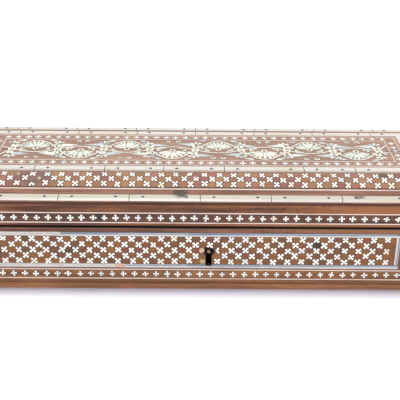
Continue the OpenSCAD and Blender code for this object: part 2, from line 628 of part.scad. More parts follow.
// ---- link plate under the lid's front rail ----
module link_screw_places() for (e = [-1, 1])
    translate([key_x + staple_x + e * link_l / 3, lock_y + lock_t / 2, lid_z + leaf_sink - leaf_t]) children();
module link_plate() color(brass) on_side(FRONT) difference() {
    hole_y = bolt_t + 2 * lock_play;
    hole_z = bolt_h + 2 * lock_play;
    union() {
        translate([key_x + staple_x - link_l / 2, lock_y, lid_z + leaf_sink - leaf_t])
            cube([link_l, lock_t, leaf_t]);
        translate([key_x + staple_x - staple_t / 2, bolt_y - (hole_y + staple_wall) / 2,
            bolt_z - hole_z / 2 - staple_wall])
            cube([staple_t, hole_y + staple_wall, lid_z - bolt_z + hole_z / 2 + staple_wall]);
    }
    translate([key_x + staple_x - staple_t, bolt_y - hole_y / 2, bolt_z - hole_z / 2])
        cube([2 * staple_t, hole_y, hole_z]);
    link_screw_places() screw_hole();
}
module link_screws() color(brass) on_side(FRONT) link_screw_places() screw();

front_board();
right_board();
back_board();
left_board();
bottom_board();
plinth(FRONT);  // plinth_front
plinth(RIGHT);  // plinth_right
plinth(BACK);  // plinth_back
plinth(LEFT);  // plinth_left
color(reeded_bone) on_side(FRONT) field_frame(FRONT);  // field_frame_front
color(reeded_bone) on_side(RIGHT) field_frame(RIGHT);  // field_frame_right
color(reeded_bone) on_side(BACK) field_frame(BACK);  // field_frame_back
color(reeded_bone) on_side(LEFT) field_frame(LEFT);  // field_frame_left
color(bone) on_side(FRONT) field_flowers(FRONT);  // field_flowers_front
color(bone) on_side(RIGHT) field_flowers(RIGHT);  // field_flowers_right
color(bone) on_side(BACK) field_flowers(BACK);  // field_flowers_back
color(bone) on_side(LEFT) field_flowers(LEFT);  // field_flowers_left
base_flowers();
base_stringing();
lock_case();
lock_cap();
drill_pin();
lock_screws();
bolt_studs();
bolt_spring();
lock_bolt();
hinge_case_leaves();
hinge_case_screws();
hinge_pins();
lid_rail_front();
lid_rail_right();
lid_rail_back();
lid_rail_left();
lid_deck();
lid_edge_bone();
lid_edge_pins();
lid_flowers();
lid_stringing();
ledge_stringing();
cushion(FRONT);  // cushion_front
cushion(RIGHT);  // cushion_right
cushion(BACK);  // cushion_back
cushion(LEFT);  // cushion_left
cushion_flowers();
top_core();
top_panel();
top_bone();
top_bone_pins();
top_flowers();
top_stringing();
scroll_stems();
scroll_palmettes();
scroll_leaves();
scroll_buds();
link_plate();
link_screws();
hinge_lid_leaves();
hinge_lid_screws();
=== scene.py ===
"""Inlaid rosewood box with pinned bone edges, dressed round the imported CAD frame.

The CAD boards, strips, pins and metalwork keep their own shapes and get their finishes here.
The bone flowers, the tiles between them, the reeded strips and the scroll of the top panel are
modelled here piece by piece and stand for the plainer CAD solids.
"""

import itertools
import logging
import math
import random
from collections.abc import Callable, Iterable, Sequence
from dataclasses import dataclass, field
from enum import Enum

import bmesh
import bpy
from mathutils import Matrix, Vector

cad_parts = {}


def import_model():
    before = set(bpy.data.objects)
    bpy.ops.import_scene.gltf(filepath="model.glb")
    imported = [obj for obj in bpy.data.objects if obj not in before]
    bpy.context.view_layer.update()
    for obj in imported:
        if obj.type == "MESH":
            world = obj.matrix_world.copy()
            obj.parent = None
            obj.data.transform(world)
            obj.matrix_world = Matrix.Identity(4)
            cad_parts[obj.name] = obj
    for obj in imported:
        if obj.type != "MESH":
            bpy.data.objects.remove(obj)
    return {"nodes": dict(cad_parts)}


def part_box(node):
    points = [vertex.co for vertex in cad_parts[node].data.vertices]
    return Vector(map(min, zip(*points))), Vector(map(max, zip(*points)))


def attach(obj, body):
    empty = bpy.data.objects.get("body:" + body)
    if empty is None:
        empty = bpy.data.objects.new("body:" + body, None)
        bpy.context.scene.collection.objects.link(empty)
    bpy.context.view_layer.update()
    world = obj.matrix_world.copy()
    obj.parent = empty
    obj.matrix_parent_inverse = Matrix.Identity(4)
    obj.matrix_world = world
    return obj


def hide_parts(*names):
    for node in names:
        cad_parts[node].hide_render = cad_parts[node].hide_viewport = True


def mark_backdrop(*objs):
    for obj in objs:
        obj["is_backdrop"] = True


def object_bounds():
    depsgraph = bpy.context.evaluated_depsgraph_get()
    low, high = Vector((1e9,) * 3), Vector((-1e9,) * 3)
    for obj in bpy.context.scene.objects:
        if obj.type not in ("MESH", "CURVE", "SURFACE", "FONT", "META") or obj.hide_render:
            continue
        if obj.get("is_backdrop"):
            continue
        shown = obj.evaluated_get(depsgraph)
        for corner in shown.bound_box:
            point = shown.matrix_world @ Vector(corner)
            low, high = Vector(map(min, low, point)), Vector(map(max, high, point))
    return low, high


LOG = logging.getLogger("inlaid_box")
MM = 0.001

Point = tuple[float, float]
Triple = tuple[float, float, float]
Corners = tuple[Vector, Vector]
Colour = tuple[float, float, float, float]


# ---------------------------------------------------------------- choices


class Side(Enum):
    """The four sides of the box, by the quarter turns from the front."""

    FRONT = 0
    RIGHT = 1
    BACK = 2
    LEFT = 3

    @property
    def wide(self) -> bool:
        """Whether the side runs along the box's width."""
        return self.value % 2 == 0


class Slot(Enum):
    """Material slots of the record, which Workshop.piece is handed for each new piece."""

    ROSEWOOD = "rosewood"
    BONE = "bone"
    REEDED_BONE = "reeded_bone"
    HORN = "horn"


class Body(Enum):
    """Bodies of the record that carry the new pieces."""

    BOX = "box"
    LID = "lid"


# ---------------------------------------------------------------- sizes


def reach(node: str) -> Corners:
    """Lowest and highest corner of a CAD node in millimetres."""
    low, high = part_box(node)
    return low / MM, high / MM


def turn_by(degrees: float) -> Matrix:
    """Turns about the upright axis, or about a sheet's own z."""
    return Matrix.Rotation(math.radians(degrees), 4, "Z")


@dataclass(frozen=True)
class CaseSizes:
    """Sizes of the case and lid in millimetres; the heights are read from the frame."""

    width: float
    depth: float
    cushion_z: float
    panel_z: float
    base_band_z: float
    lid_band_z: float
    field_z: tuple[float, float]
    key: Point
    inlay: float = 0.4
    panel_in: float = 31.5

    @classmethod
    def measured(cls) -> "CaseSizes":
        """Reads the sizes from the CAD nodes.

        Returns:
            The measured sizes.
        """
        front, back = reach("front_board"), reach("back_board")
        strips, base, lid = reach("field_frame_front"), reach("base_flowers"), reach("lid_flowers")
        pin = sum(reach("drill_pin"), Vector()) / 2
        return cls(
            width=front[1].x - front[0].x,
            depth=back[1].y - front[0].y,
            cushion_z=reach("cushion_front")[1].z,
            panel_z=reach("top_bone")[1].z,
            base_band_z=(base[0].z + base[1].z) / 2,
            lid_band_z=(lid[0].z + lid[1].z) / 2,
            field_z=(strips[0].z, strips[1].z),
            key=(pin.x, pin.z),
        )

    def length(self, side: Side) -> float:
        """Length of a side's outer face."""
        return self.width if side.wide else self.depth

    def frame(self, side: Side) -> Matrix:
        """Turns a side's own frame (x along, y inwards, z up) into the box's frame."""
        out = (self.depth if side.wide else self.width) / 2
        return turn_by(90 * side.value) @ Matrix.Translation((0, -out, 0))


# ---------------------------------------------------------------- colours and nodes


def linear(code: str) -> Colour:
    """Turns an sRGB hex value into a linear colour.

    Args:
        code: Six hex digits after a hash sign.

    Returns:
        Red, green, blue and alpha.
    """
    parts = [int(code[i : i + 2], 16) / 255 for i in (1, 3, 5)]
    red, green, blue = (p / 12.92 if p <= 0.04045 else ((p + 0.055) / 1.055) ** 2.4 for p in parts)
    return (red, green, blue, 1.0)


def add_node(
    tree: bpy.types.NodeTree,
    kind: str,
    settings: dict | None = None,
    links: dict | None = None,
) -> bpy.types.Node:
    """Adds a shader node with its settings and links.

    Args:
        tree: The tree that gets the node.
        kind: The node's type, without the leading "ShaderNode".
        settings: Attributes, inputs by name or number, and "stops" for a colour ramp.
        links: Output sockets for inputs by name or number.

    Returns:
        The new node.
    """
    node = tree.nodes.new("ShaderNode" + kind)
    for key, value in (settings or {}).items():
        if key == "stops":
            ramp = node.color_ramp
            while len(ramp.elements) < len(value):
                ramp.elements.new(0.5)
            for element, (place, code) in zip(ramp.elements, value):
                element.position = place
                element.color = linear(code)
        elif isinstance(key, int) or key in node.inputs:
            node.inputs[key].default_value = value
        else:
            setattr(node, key, value)
    for key, socket in (links or {}).items():
        tree.links.new(socket, node.inputs[key])
    return node


def new_tree(name: str) -> tuple[bpy.types.Material, bpy.types.NodeTree, bpy.types.Node]:
    """Makes a material with one Principled shader.

    Args:
        name: The material's name.

    Returns:
        The material, its tree and its shader node.
    """
    material = bpy.data.materials.new(name)
    material.use_nodes = True
    tree = material.node_tree
    tree.nodes.clear()
    shader = add_node(tree, "BsdfPrincipled")
    add_node(tree, "OutputMaterial", links={"Surface": shader.outputs["BSDF"]})
    return material, tree, shader


def pattern(tree: bpy.types.NodeTree, cell: Triple, **settings: float) -> bpy.types.NodeSocket:
    """Adds a noise on Object coordinates whose cells have a real size.

    Args:
        tree: The material's tree.
        cell: Size of one cell along X, Y and Z in millimetres.
        settings: Further settings of the noise.

    Returns:
        The noise's value.
    """
    place = add_node(tree, "TexCoord").outputs["Object"]
    scale = tuple(1 / (size * MM) for size in cell)
    mapped = add_node(tree, "Mapping", {"Scale": scale}, {"Vector": place})
    values = {"Scale": 1.0, **settings}
    return add_node(tree, "TexNoise", values, {"Vector": mapped.outputs["Vector"]}).outputs[0]


def lay_over(
    tree: bpy.types.NodeTree,
    base: bpy.types.NodeSocket | Colour,
    code: str,
    value: bpy.types.NodeSocket,
    span: tuple[float, float],
    most: float = 1.0,
) -> bpy.types.NodeSocket:
    """Lays a colour over another, the more the further a value has run through a span.

    Args:
        tree: The material's tree.
        base: The colour below.
        code: The colour on top.
        value: What decides the share of the top colour.
        span: The value at which the share is nothing, and that at which it is full.
        most: The full share.

    Returns:
        The mixed colour's socket.
    """
    settings = {"From Min": span[0], "From Max": span[1], "To Min": 0.0, "To Max": most}
    share = add_node(tree, "MapRange", settings, {"Value": value}).outputs["Result"]
    settings, links = {"data_type": "RGBA", 7: linear(code)}, {0: share}
    (links if isinstance(base, bpy.types.NodeSocket) else settings)[6] = base
    return add_node(tree, "Mix", settings, links).outputs[2]


def dress(
    tree: bpy.types.NodeTree,
    shader: bpy.types.Node,
    colour: bpy.types.NodeSocket,
    relief: tuple[bpy.types.NodeSocket, float, float],
    values: dict[str, float],
) -> None:
    """Gives a shader its colour, its fine relief and its numbers.

    Args:
        tree: The material's tree.
        shader: The material's shader.
        colour: The surface's colour.
        relief: The relief's height, strength and depth in millimetres.
        values: Numbers for the shader's further inputs.
    """
    height, strength, depth = relief
    settings = {"Strength": strength, "Distance": depth * MM}
    bump = add_node(tree, "Bump", settings, {"Height": height})
    tree.links.new(colour, shader.inputs["Base Color"])
    tree.links.new(bump.outputs["Normal"], shader.inputs["Normal"])
    for name, value in values.items():
        shader.inputs[name].default_value = value


@dataclass(frozen=True)
class StainAndPaintedLight:
    """A worn, stained or darkened place, or a patch of painted light or shade: its middle and reach
    in millimetres, colour and strength.
    """

    middle: Triple
    reach: Triple
    colour: str
    strength: float
    speckle: float

    # Share of the reach that has the full strength, and size of the grit in the ragged edge
    CORE = 0.55
    GRIT = (2.5, 2.5, 2.5)

    def lay(self, tree: bpy.types.NodeTree, base: bpy.types.NodeSocket) -> bpy.types.NodeSocket:
        """Mixes the mark over a colour, with a ragged edge.

        Args:
            tree: The material's tree.
            base: The colour under the mark.

        Returns:
            The stained colour's socket.
        """
        moved = add_node(tree, "TexCoord").outputs["Object"]
        middle = tuple(value * MM for value in self.middle)
        scale = tuple(1 / (value * MM) for value in self.reach)
        for operation, by in (("SUBTRACT", middle), ("MULTIPLY", scale)):
            settings = {"operation": operation, 1: by}
            moved = add_node(tree, "VectorMath", settings, {0: moved}).outputs["Vector"]
        length = add_node(tree, "VectorMath", {"operation": "LENGTH"}, {0: moved})
        settings = {"operation": "MULTIPLY_ADD", 1: 2 * self.speckle}
        links = {0: pattern(tree, self.GRIT, Detail=4.0), 2: length.outputs["Value"]}
        ragged = add_node(tree, "Math", settings, links).outputs[0]
        span = (1.0 + self.speckle, self.CORE + self.speckle)
        return lay_over(tree, base, self.colour, ragged, span, self.strength)


# Dark spots on the moulding, on the ledge, at the lid's right end and on the lid's flower band
CUSHION_STAIN = StainAndPaintedLight((-121.0, -47.0, 80.3), (19.0, 9.0, 9.0), "#6E5C5A", 0.75, 0.3)
LEDGE_STAIN = StainAndPaintedLight((-11.0, -62.5, 76.3), (7.0, 9.0, 4.0), "#3E382F", 0.9, 0.6)
RIGHT_STAIN = StainAndPaintedLight((121.0, -67.0, 76.3), (5.0, 4.0, 3.0), "#51473C", 0.8, 0.5)
BAND_STAIN = StainAndPaintedLight((-71.0, -71.0, 61.0), (5.5, 3.0, 5.0), "#33291F", 0.9, 0.12)
# Painted shade on the wood under the lid's bone edge, where the strip overhangs it
UNDER_EDGE_SHADE = StainAndPaintedLight((0.0, -71.4, 71.9), (700.0, 1.6, 1.4), "#2A170E", 0.85, 0.0)
# The bone edge: darker and greyer yellow on its top, and a painted highlight that makes its front
# face paler along its lower corner
EDGE_TOP_DARKENING = StainAndPaintedLight((0.0, -68.0, 76.8), (700.0, 30.0, 0.9), "#B9B5A0", 0.8, 0.25)
EDGE_FRONT_LIGHT = StainAndPaintedLight((-40.0, -71.3, 74.2), (120.0, 1.6, 2.6), "#E2DFD0", 0.75, 0.0)
# A dark spot in the upper right corner of the front's reeded strips
REED_CORNER_DARK = StainAndPaintedLight((154.0, -71.0, 48.5), (2.4, 3.0, 3.0), "#1C1714", 0.95, 0.2)
# Warmer stretches of the case's wood: right of the lock, and along the plinth
WARM_STAIN = StainAndPaintedLight((135.0, -71.0, 50.0), (95.0, 4.0, 40.0), "#A86F42", 0.4, 0.5)
BASE_STAIN = StainAndPaintedLight((0.0, -71.0, 3.0), (700.0, 700.0, 15.0), "#9A6C40", 0.3, 0.4)
# Painted shade in the joint between case and lid
RIM_GAP_SHADE = StainAndPaintedLight((0.0, 0.0, 52.6), (700.0, 700.0, 1.5), "#140D09", 0.95, 0.0)


# ---------------------------------------------------------------- finishes

BONE_IOR = 1.54


@dataclass(frozen=True)
class WaxedRosewood:
    """Indian rosewood, planed and waxed: ribbons of red, orange and dark heartwood with fine
    open pores, which the wax leaves with a soft gloss."""

    name: str
    light: str
    mid: str
    dark: str
    along: str = "X"
    ribbon: float = 2.6
    # Laid over the wood unless a finish says otherwise: warmer stretches, and painted shade under
    # the lid's bone edge and in the joint between case and lid
    stains_and_painted_light: tuple[StainAndPaintedLight, ...] = (WARM_STAIN, BASE_STAIN, UNDER_EDGE_SHADE, RIM_GAP_SHADE)
    roughness: float = 0.42
    gloss: float = 0.3

    # Length of a ribbon's cell, length and width of a pore's, and size of the slow drifts in
    # shade. The pores are 0.2 mm wide and are drawn at 0.7 mm so that they still show.
    RIBBON_LENGTH = 70.0
    PORE = (9.0, 0.7)
    DRIFT = (45.0, 30.0, 25.0)

    def cell(self, length: float, width: float) -> Triple:
        """Size of a pattern's cell whose length lies along the grain."""
        return (length, width, width) if self.along == "X" else (width, length, width)

    def build(self) -> bpy.types.Material:
        """Builds the material.

        Returns:
            The new material.
        """
        material, tree, shader = new_tree(self.name)
        cell = self.cell(self.RIBBON_LENGTH, self.ribbon)
        ribbons = pattern(tree, cell, Detail=5.0, Roughness=0.62, Distortion=0.5)
        stops = [(0.30, self.dark), (0.47, self.mid), (0.62, self.light), (0.78, self.mid)]
        colour = add_node(tree, "ValToRGB", {"stops": stops}, {"Fac": ribbons}).outputs["Color"]
        pores = pattern(tree, self.cell(*self.PORE), Detail=3.0, Roughness=0.7)
        colour = lay_over(tree, colour, self.dark, pores, (0.52, 0.36), 0.55)
        drift = pattern(tree, self.DRIFT, Detail=2.0)
        colour = lay_over(tree, colour, self.dark, drift, (0.62, 0.42), 0.35)
        for overlay in self.stains_and_painted_light:
            colour = overlay.lay(tree, colour)
        low, high = self.roughness - 0.1, self.roughness + 0.15
        settings = {"From Min": 0.3, "From Max": 0.75, "To Min": low, "To Max": high}
        rough = add_node(tree, "MapRange", settings, {"Value": pores})
        tree.links.new(rough.outputs["Result"], shader.inputs["Roughness"])
        values = {"IOR": 1.5, "Specular IOR Level": self.gloss}
        dress(tree, shader, colour, (pores, 0.25, 0.06), values)
        return material


@dataclass(frozen=True)
class PolishedBone:
    """Camel bone, sawn thin and polished: cream with faint yellow patches and grey pores."""

    name: str
    cream: str = "#CBC8BB"
    yellow: str = "#C2BBA0"
    grey: str = "#A29C86"
    stains_and_painted_light: tuple[StainAndPaintedLight, ...] = ()
    roughness: float = 0.38

    def build(self) -> bpy.types.Material:
        """Builds the material.

        Returns:
            The new material.
        """
        material, tree, shader = new_tree(self.name)
        patches = pattern(tree, (38.0, 26.0, 14.0), Detail=3.0, Roughness=0.6)
        colour = lay_over(tree, linear(self.cream), self.yellow, patches, (0.5, 0.72))
        pores = pattern(tree, (4.0, 1.1, 1.1), Detail=3.0)
        colour = lay_over(tree, colour, self.grey, pores, (0.6, 0.85), 0.55)
        for overlay in self.stains_and_painted_light:
            colour = overlay.lay(tree, colour)
        values = {"Roughness": self.roughness, "IOR": BONE_IOR}
        dress(tree, shader, colour, (pores, 0.2, 0.05), values)
        return material


@dataclass(frozen=True)
class TintedPieces:
    """Small pieces cut from several sheets of one stuff: each keeps the tint of its sheet.

    The tint is a face attribute from 0 to 1 that picks a place on the row of stops, and a fine
    grain runs through it.
    """

    name: str
    stops: tuple[tuple[float, str], ...]
    grain: Triple
    grain_colour: str
    grain_share: float
    roughness: float
    ior: float
    stains_and_painted_light: tuple[StainAndPaintedLight, ...] = ()

    def build(self) -> bpy.types.Material:
        """Builds the material.

        Returns:
            The new material.
        """
        material, tree, shader = new_tree(self.name)
        tint = add_node(tree, "Attribute", {"attribute_name": "tint"}).outputs["Fac"]
        colour = add_node(tree, "ValToRGB", {"stops": list(self.stops)}, {"Fac": tint}).outputs[0]
        grain = pattern(tree, self.grain, Detail=4.0, Roughness=0.65)
        colour = lay_over(tree, colour, self.grain_colour, grain, (0.48, 0.8), self.grain_share)
        for overlay in self.stains_and_painted_light:
            colour = overlay.lay(tree, colour)
        values = {"Roughness": self.roughness, "IOR": self.ior}
        dress(tree, shader, colour, (grain, 0.2, 0.05), values)
        return material


@dataclass(frozen=True)
class AgedMetal:
    """Filed and hammered metal under a brown skin of age, brighter where hands rub it."""

    name: str
    bright: str
    brown: str
    roughness: float

    def build(self) -> bpy.types.Material:
        """Builds the material.

        Returns:
            The new material.
        """
        material, tree, shader = new_tree(self.name)
        skin = pattern(tree, (3.0, 3.0, 3.0), Detail=5.0, Roughness=0.7)
        colour = lay_over(tree, linear(self.bright), self.brown, skin, (0.38, 0.62))
        low, high = self.roughness - 0.15, self.roughness + 0.2
        settings = {"From Min": 0.2, "From Max": 0.8, "To Min": low, "To Max": high}
        rough = add_node(tree, "MapRange", settings, {"Value": skin})
        tree.links.new(rough.outputs["Result"], shader.inputs["Roughness"])
        dress(tree, shader, colour, (skin, 0.3, 0.1), {"Metallic": 1.0})
        return material


@dataclass(frozen=True)
class DarkFill:
    """Lac and wood dust pressed round the bone, or dark horn: nearly black brown, dull."""

    name: str
    light: str
    dark: str
    roughness: float = 0.6

    def build(self) -> bpy.types.Material:
        """Builds the material.

        Returns:
            The new material.
        """
        material, tree, shader = new_tree(self.name)
        grit = pattern(tree, (1.6, 1.6, 1.6), Detail=4.0, Roughness=0.7)
        colour = lay_over(tree, linear(self.light), self.dark, grit, (0.35, 0.65))
        values = {"Roughness": self.roughness, "IOR": 1.5}
        dress(tree, shader, colour, (grit, 0.3, 0.05), values)
        return material


FLOWER_STOPS = (
    (0.0, "#F0EADB"),
    (0.5, "#ECEADF"),
    (0.72, "#DEE5D8"),
    (0.9, "#D9DFDE"),
    (1.0, "#E4D9BE"),
)
TILE_STOPS = (
    (0.0, "#744526"),
    (0.2, "#835528"),
    (0.4, "#68422C"),
    (0.6, "#7C552B"),
    (0.8, "#72422E"),
    (0.985, "#64482A"),
    (1.0, "#34261F"),
)
# The moulding's tiles: paler and pinker than the field's, partly their own tone and partly a
# painted sheen of the light that the upturned moulding catches
CUSHION_TILE_AND_SHEEN_STOPS = (
    (0.0, "#8E6851"),
    (0.25, "#9E7A5A"),
    (0.5, "#866057"),
    (0.75, "#9A6F5E"),
    (0.97, "#8C7257"),
    (1.0, "#5E483E"),
)
LEAF_STOPS = (
    (0.0, "#EFEBD8"),
    (0.35, "#E6E8D2"),
    (0.6, "#D0DAC8"),
    (0.8, "#B5BDBC"),
    (1.0, "#DCD2B2"),
)
PUTTY_STOPS = ((0.0, "#A3946C"), (0.5, "#B6A284"), (1.0, "#BFA28C"))
# Reeded bone: the stops from dark blue-grey to white paint the shade and the reflections along the
# reeds' rounded faces
REED_BONE_AND_SHEEN_STOPS = (
    (0.0, "#4E5C68"),
    (0.25, "#8496A2"),
    (0.5, "#B0BEC5"),
    (0.68, "#DCE3E3"),
    (0.78, "#F2EFE4"),
    (0.88, "#D8DDD8"),
    (1.0, "#E2BDA2"),
)

# Light, middle and dark shade of the boards whose grain follows each side
BOARDS = {
    "case": ("#875E42", "#6A4734", "#3C281C"),
    "lid": ("#905A36", "#70442B", "#3E2518"),
    "plinth": ("#A67856", "#8C644A", "#5C4230"),
}
# Cells of the grain along small tiles, and of the fine spots in bone and putty
SPLINTER = (6.0, 1.2, 1.2)
SPOT = (2.0, 2.0, 2.0)

FINISHES = {
    finish.name: finish
    for finish in (
        # Boards of the case, the lid and the plinth: a soft gloss, the grain along each side
        *(
            WaxedRosewood(f"rosewood_{part}_{along.lower()}", *shades, along=along)
            for part, shades in BOARDS.items()
            for along in "XY"
        ),
        # Ledge and top: paler shades, a painted sheen for the light that their upward faces catch;
        # the ledge also takes the painted shade under the bone edge
        WaxedRosewood(
            "rosewood_deck_sheen", "#9C705A", "#845B48", "#5A4030", stains_and_painted_light=(UNDER_EDGE_SHADE, LEDGE_STAIN)
        ),
        WaxedRosewood("rosewood_top_sheen", "#AA8870", "#987862", "#785E4C"),
        # Grounds of the two bands: thin strips with fine ribbons, dark above and fresh below
        WaxedRosewood(
            "rosewood_lid_band", "#6A4631", "#58392B", "#3A251C", ribbon=2.0, stains_and_painted_light=(BAND_STAIN,)
        ),
        WaxedRosewood("rosewood_base_band", "#9A6A3C", "#845832", "#573A24", ribbon=2.0, stains_and_painted_light=()),
        # Planed deodar inside: pale, broad-grained and never waxed, so dull
        WaxedRosewood("deodar_inside", "#B98C60", "#A07548", "#7E5838", ribbon=6.0, roughness=0.6),
        # Sawn and polished bone: a low shine; the thin lines are browned by the wood's oil
        # The edge strips take a painted highlight on their front face and a darker top
        PolishedBone("bone_strips", stains_and_painted_light=(EDGE_FRONT_LIGHT, EDGE_TOP_DARKENING, LEDGE_STAIN, RIGHT_STAIN)),
        PolishedBone("bone_lines", cream="#D6CBBF", yellow="#C2AB96", grey="#8F7C68"),
        # Small pieces of bone, wood and putty: no two quite alike
        TintedPieces("bone_flowers", FLOWER_STOPS, SPOT, "#CFC8B4", 0.35, 0.36, BONE_IOR),
        TintedPieces("bone_scroll", LEAF_STOPS, (5.0, 1.6, 1.6), "#AFA88E", 0.55, 0.4, BONE_IOR),
        TintedPieces("rosewood_tiles", TILE_STOPS, SPLINTER, "#3A241A", 0.5, 0.6, 1.45),
        TintedPieces(
            "cushion_tiles", CUSHION_TILE_AND_SHEEN_STOPS, SPLINTER, "#4E3830", 0.5, 0.65, 1.4, (CUSHION_STAIN,)
        ),
        TintedPieces("patch_putty", PUTTY_STOPS, SPOT, "#84754F", 0.4, 0.5, 1.5),
        # Reeded bone: each reed's tint paints its shade and reflection
        TintedPieces(
            "reeded_bone",
            REED_BONE_AND_SHEEN_STOPS,
            (9.0, 1.0, 1.0),
            "#66737C",
            0.35,
            0.4,
            BONE_IOR,
            (REED_CORNER_DARK,),
        ),
        # Lac and wood dust; a paler copy of it on the top, whose paleness is a painted sheen; soot;
        # horn with a dull cut
        DarkFill("dark_mastic", "#46362C", "#281E18"),
        DarkFill("mastic_top_sheen", "#6C5E52", "#4A3F36"),
        DarkFill("black_soot", "#16110E", "#0A0806", 0.85),
        DarkFill("dark_horn", "#2E2721", "#17130F", 0.7),
        # Cast and filed brass, browned, or near black on the lock's cap as painted shade inside the
        # lock, and forged iron, near black on the lock's case for the same painted shade: dull
        # where not rubbed
        AgedMetal("brown_brass", "#8A6B3A", "#3B2C1C", 0.5),
        AgedMetal("lock_shade_brass", "#40321E", "#17110B", 0.7),
        AgedMetal("black_iron", "#2A241E", "#120F0C", 0.75),
        AgedMetal("browned_iron", "#9A8A78", "#5A4B3E", 0.6),
    )
}


class Workshop:
    """Keeps one material for each finish, and makes and reports the pieces."""

    def __init__(self) -> None:
        """Starts with no materials built."""
        self.materials: dict[str, bpy.types.Material] = {}

    def material(self, name: str) -> bpy.types.Material:
        """Looks a material up, and builds it when it is first asked for.

        Args:
            name: The finish's name.

        Returns:
            The finish's material.
        """
        if name not in self.materials:
            self.materials[name] = FINISHES[name].build()
        return self.materials[name]

    def finish_node(self, node: bpy.types.Object, finish: str) -> None:
        """Gives a CAD node its finish.

        Args:
            node: The node's object.
            finish: The finish's name.
        """
        node.data.materials.clear()
        node.data.materials.append(self.material(finish))
        LOG.info("finished %s in %s", node.name, finish)

    def piece(
        self,
        name: str,
        sheet: "Sheet",
        body: Body,
        finish: str,
        slot: Slot,
        replaces: Sequence[str] = (),
    ) -> None:
        """Turns a worked sheet into a piece of the box.

        Args:
            name: The piece's name.
            sheet: The worked sheet, in millimetres in the box's frame.
            body: The CAD body that carries the piece.
            finish: The finish's name.
            slot: The record's material slot; not used.
            replaces: CAD nodes that the piece stands for.
        """
        bm = sheet.bm
        bmesh.ops.scale(bm, vec=(MM, MM, MM), verts=bm.verts)
        mesh = bpy.data.meshes.new(name)
        bm.to_mesh(mesh)
        bm.free()
        mesh.materials.append(self.material(finish))
        piece = bpy.data.objects.new(name, mesh)
        bpy.context.scene.collection.objects.link(piece)
        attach(piece, body.value)
        if replaces:
            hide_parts(*replaces)
        LOG.info("made %s: %d faces on %s", name, len(mesh.polygons), body.value)


# ---------------------------------------------------------------- worked sheets


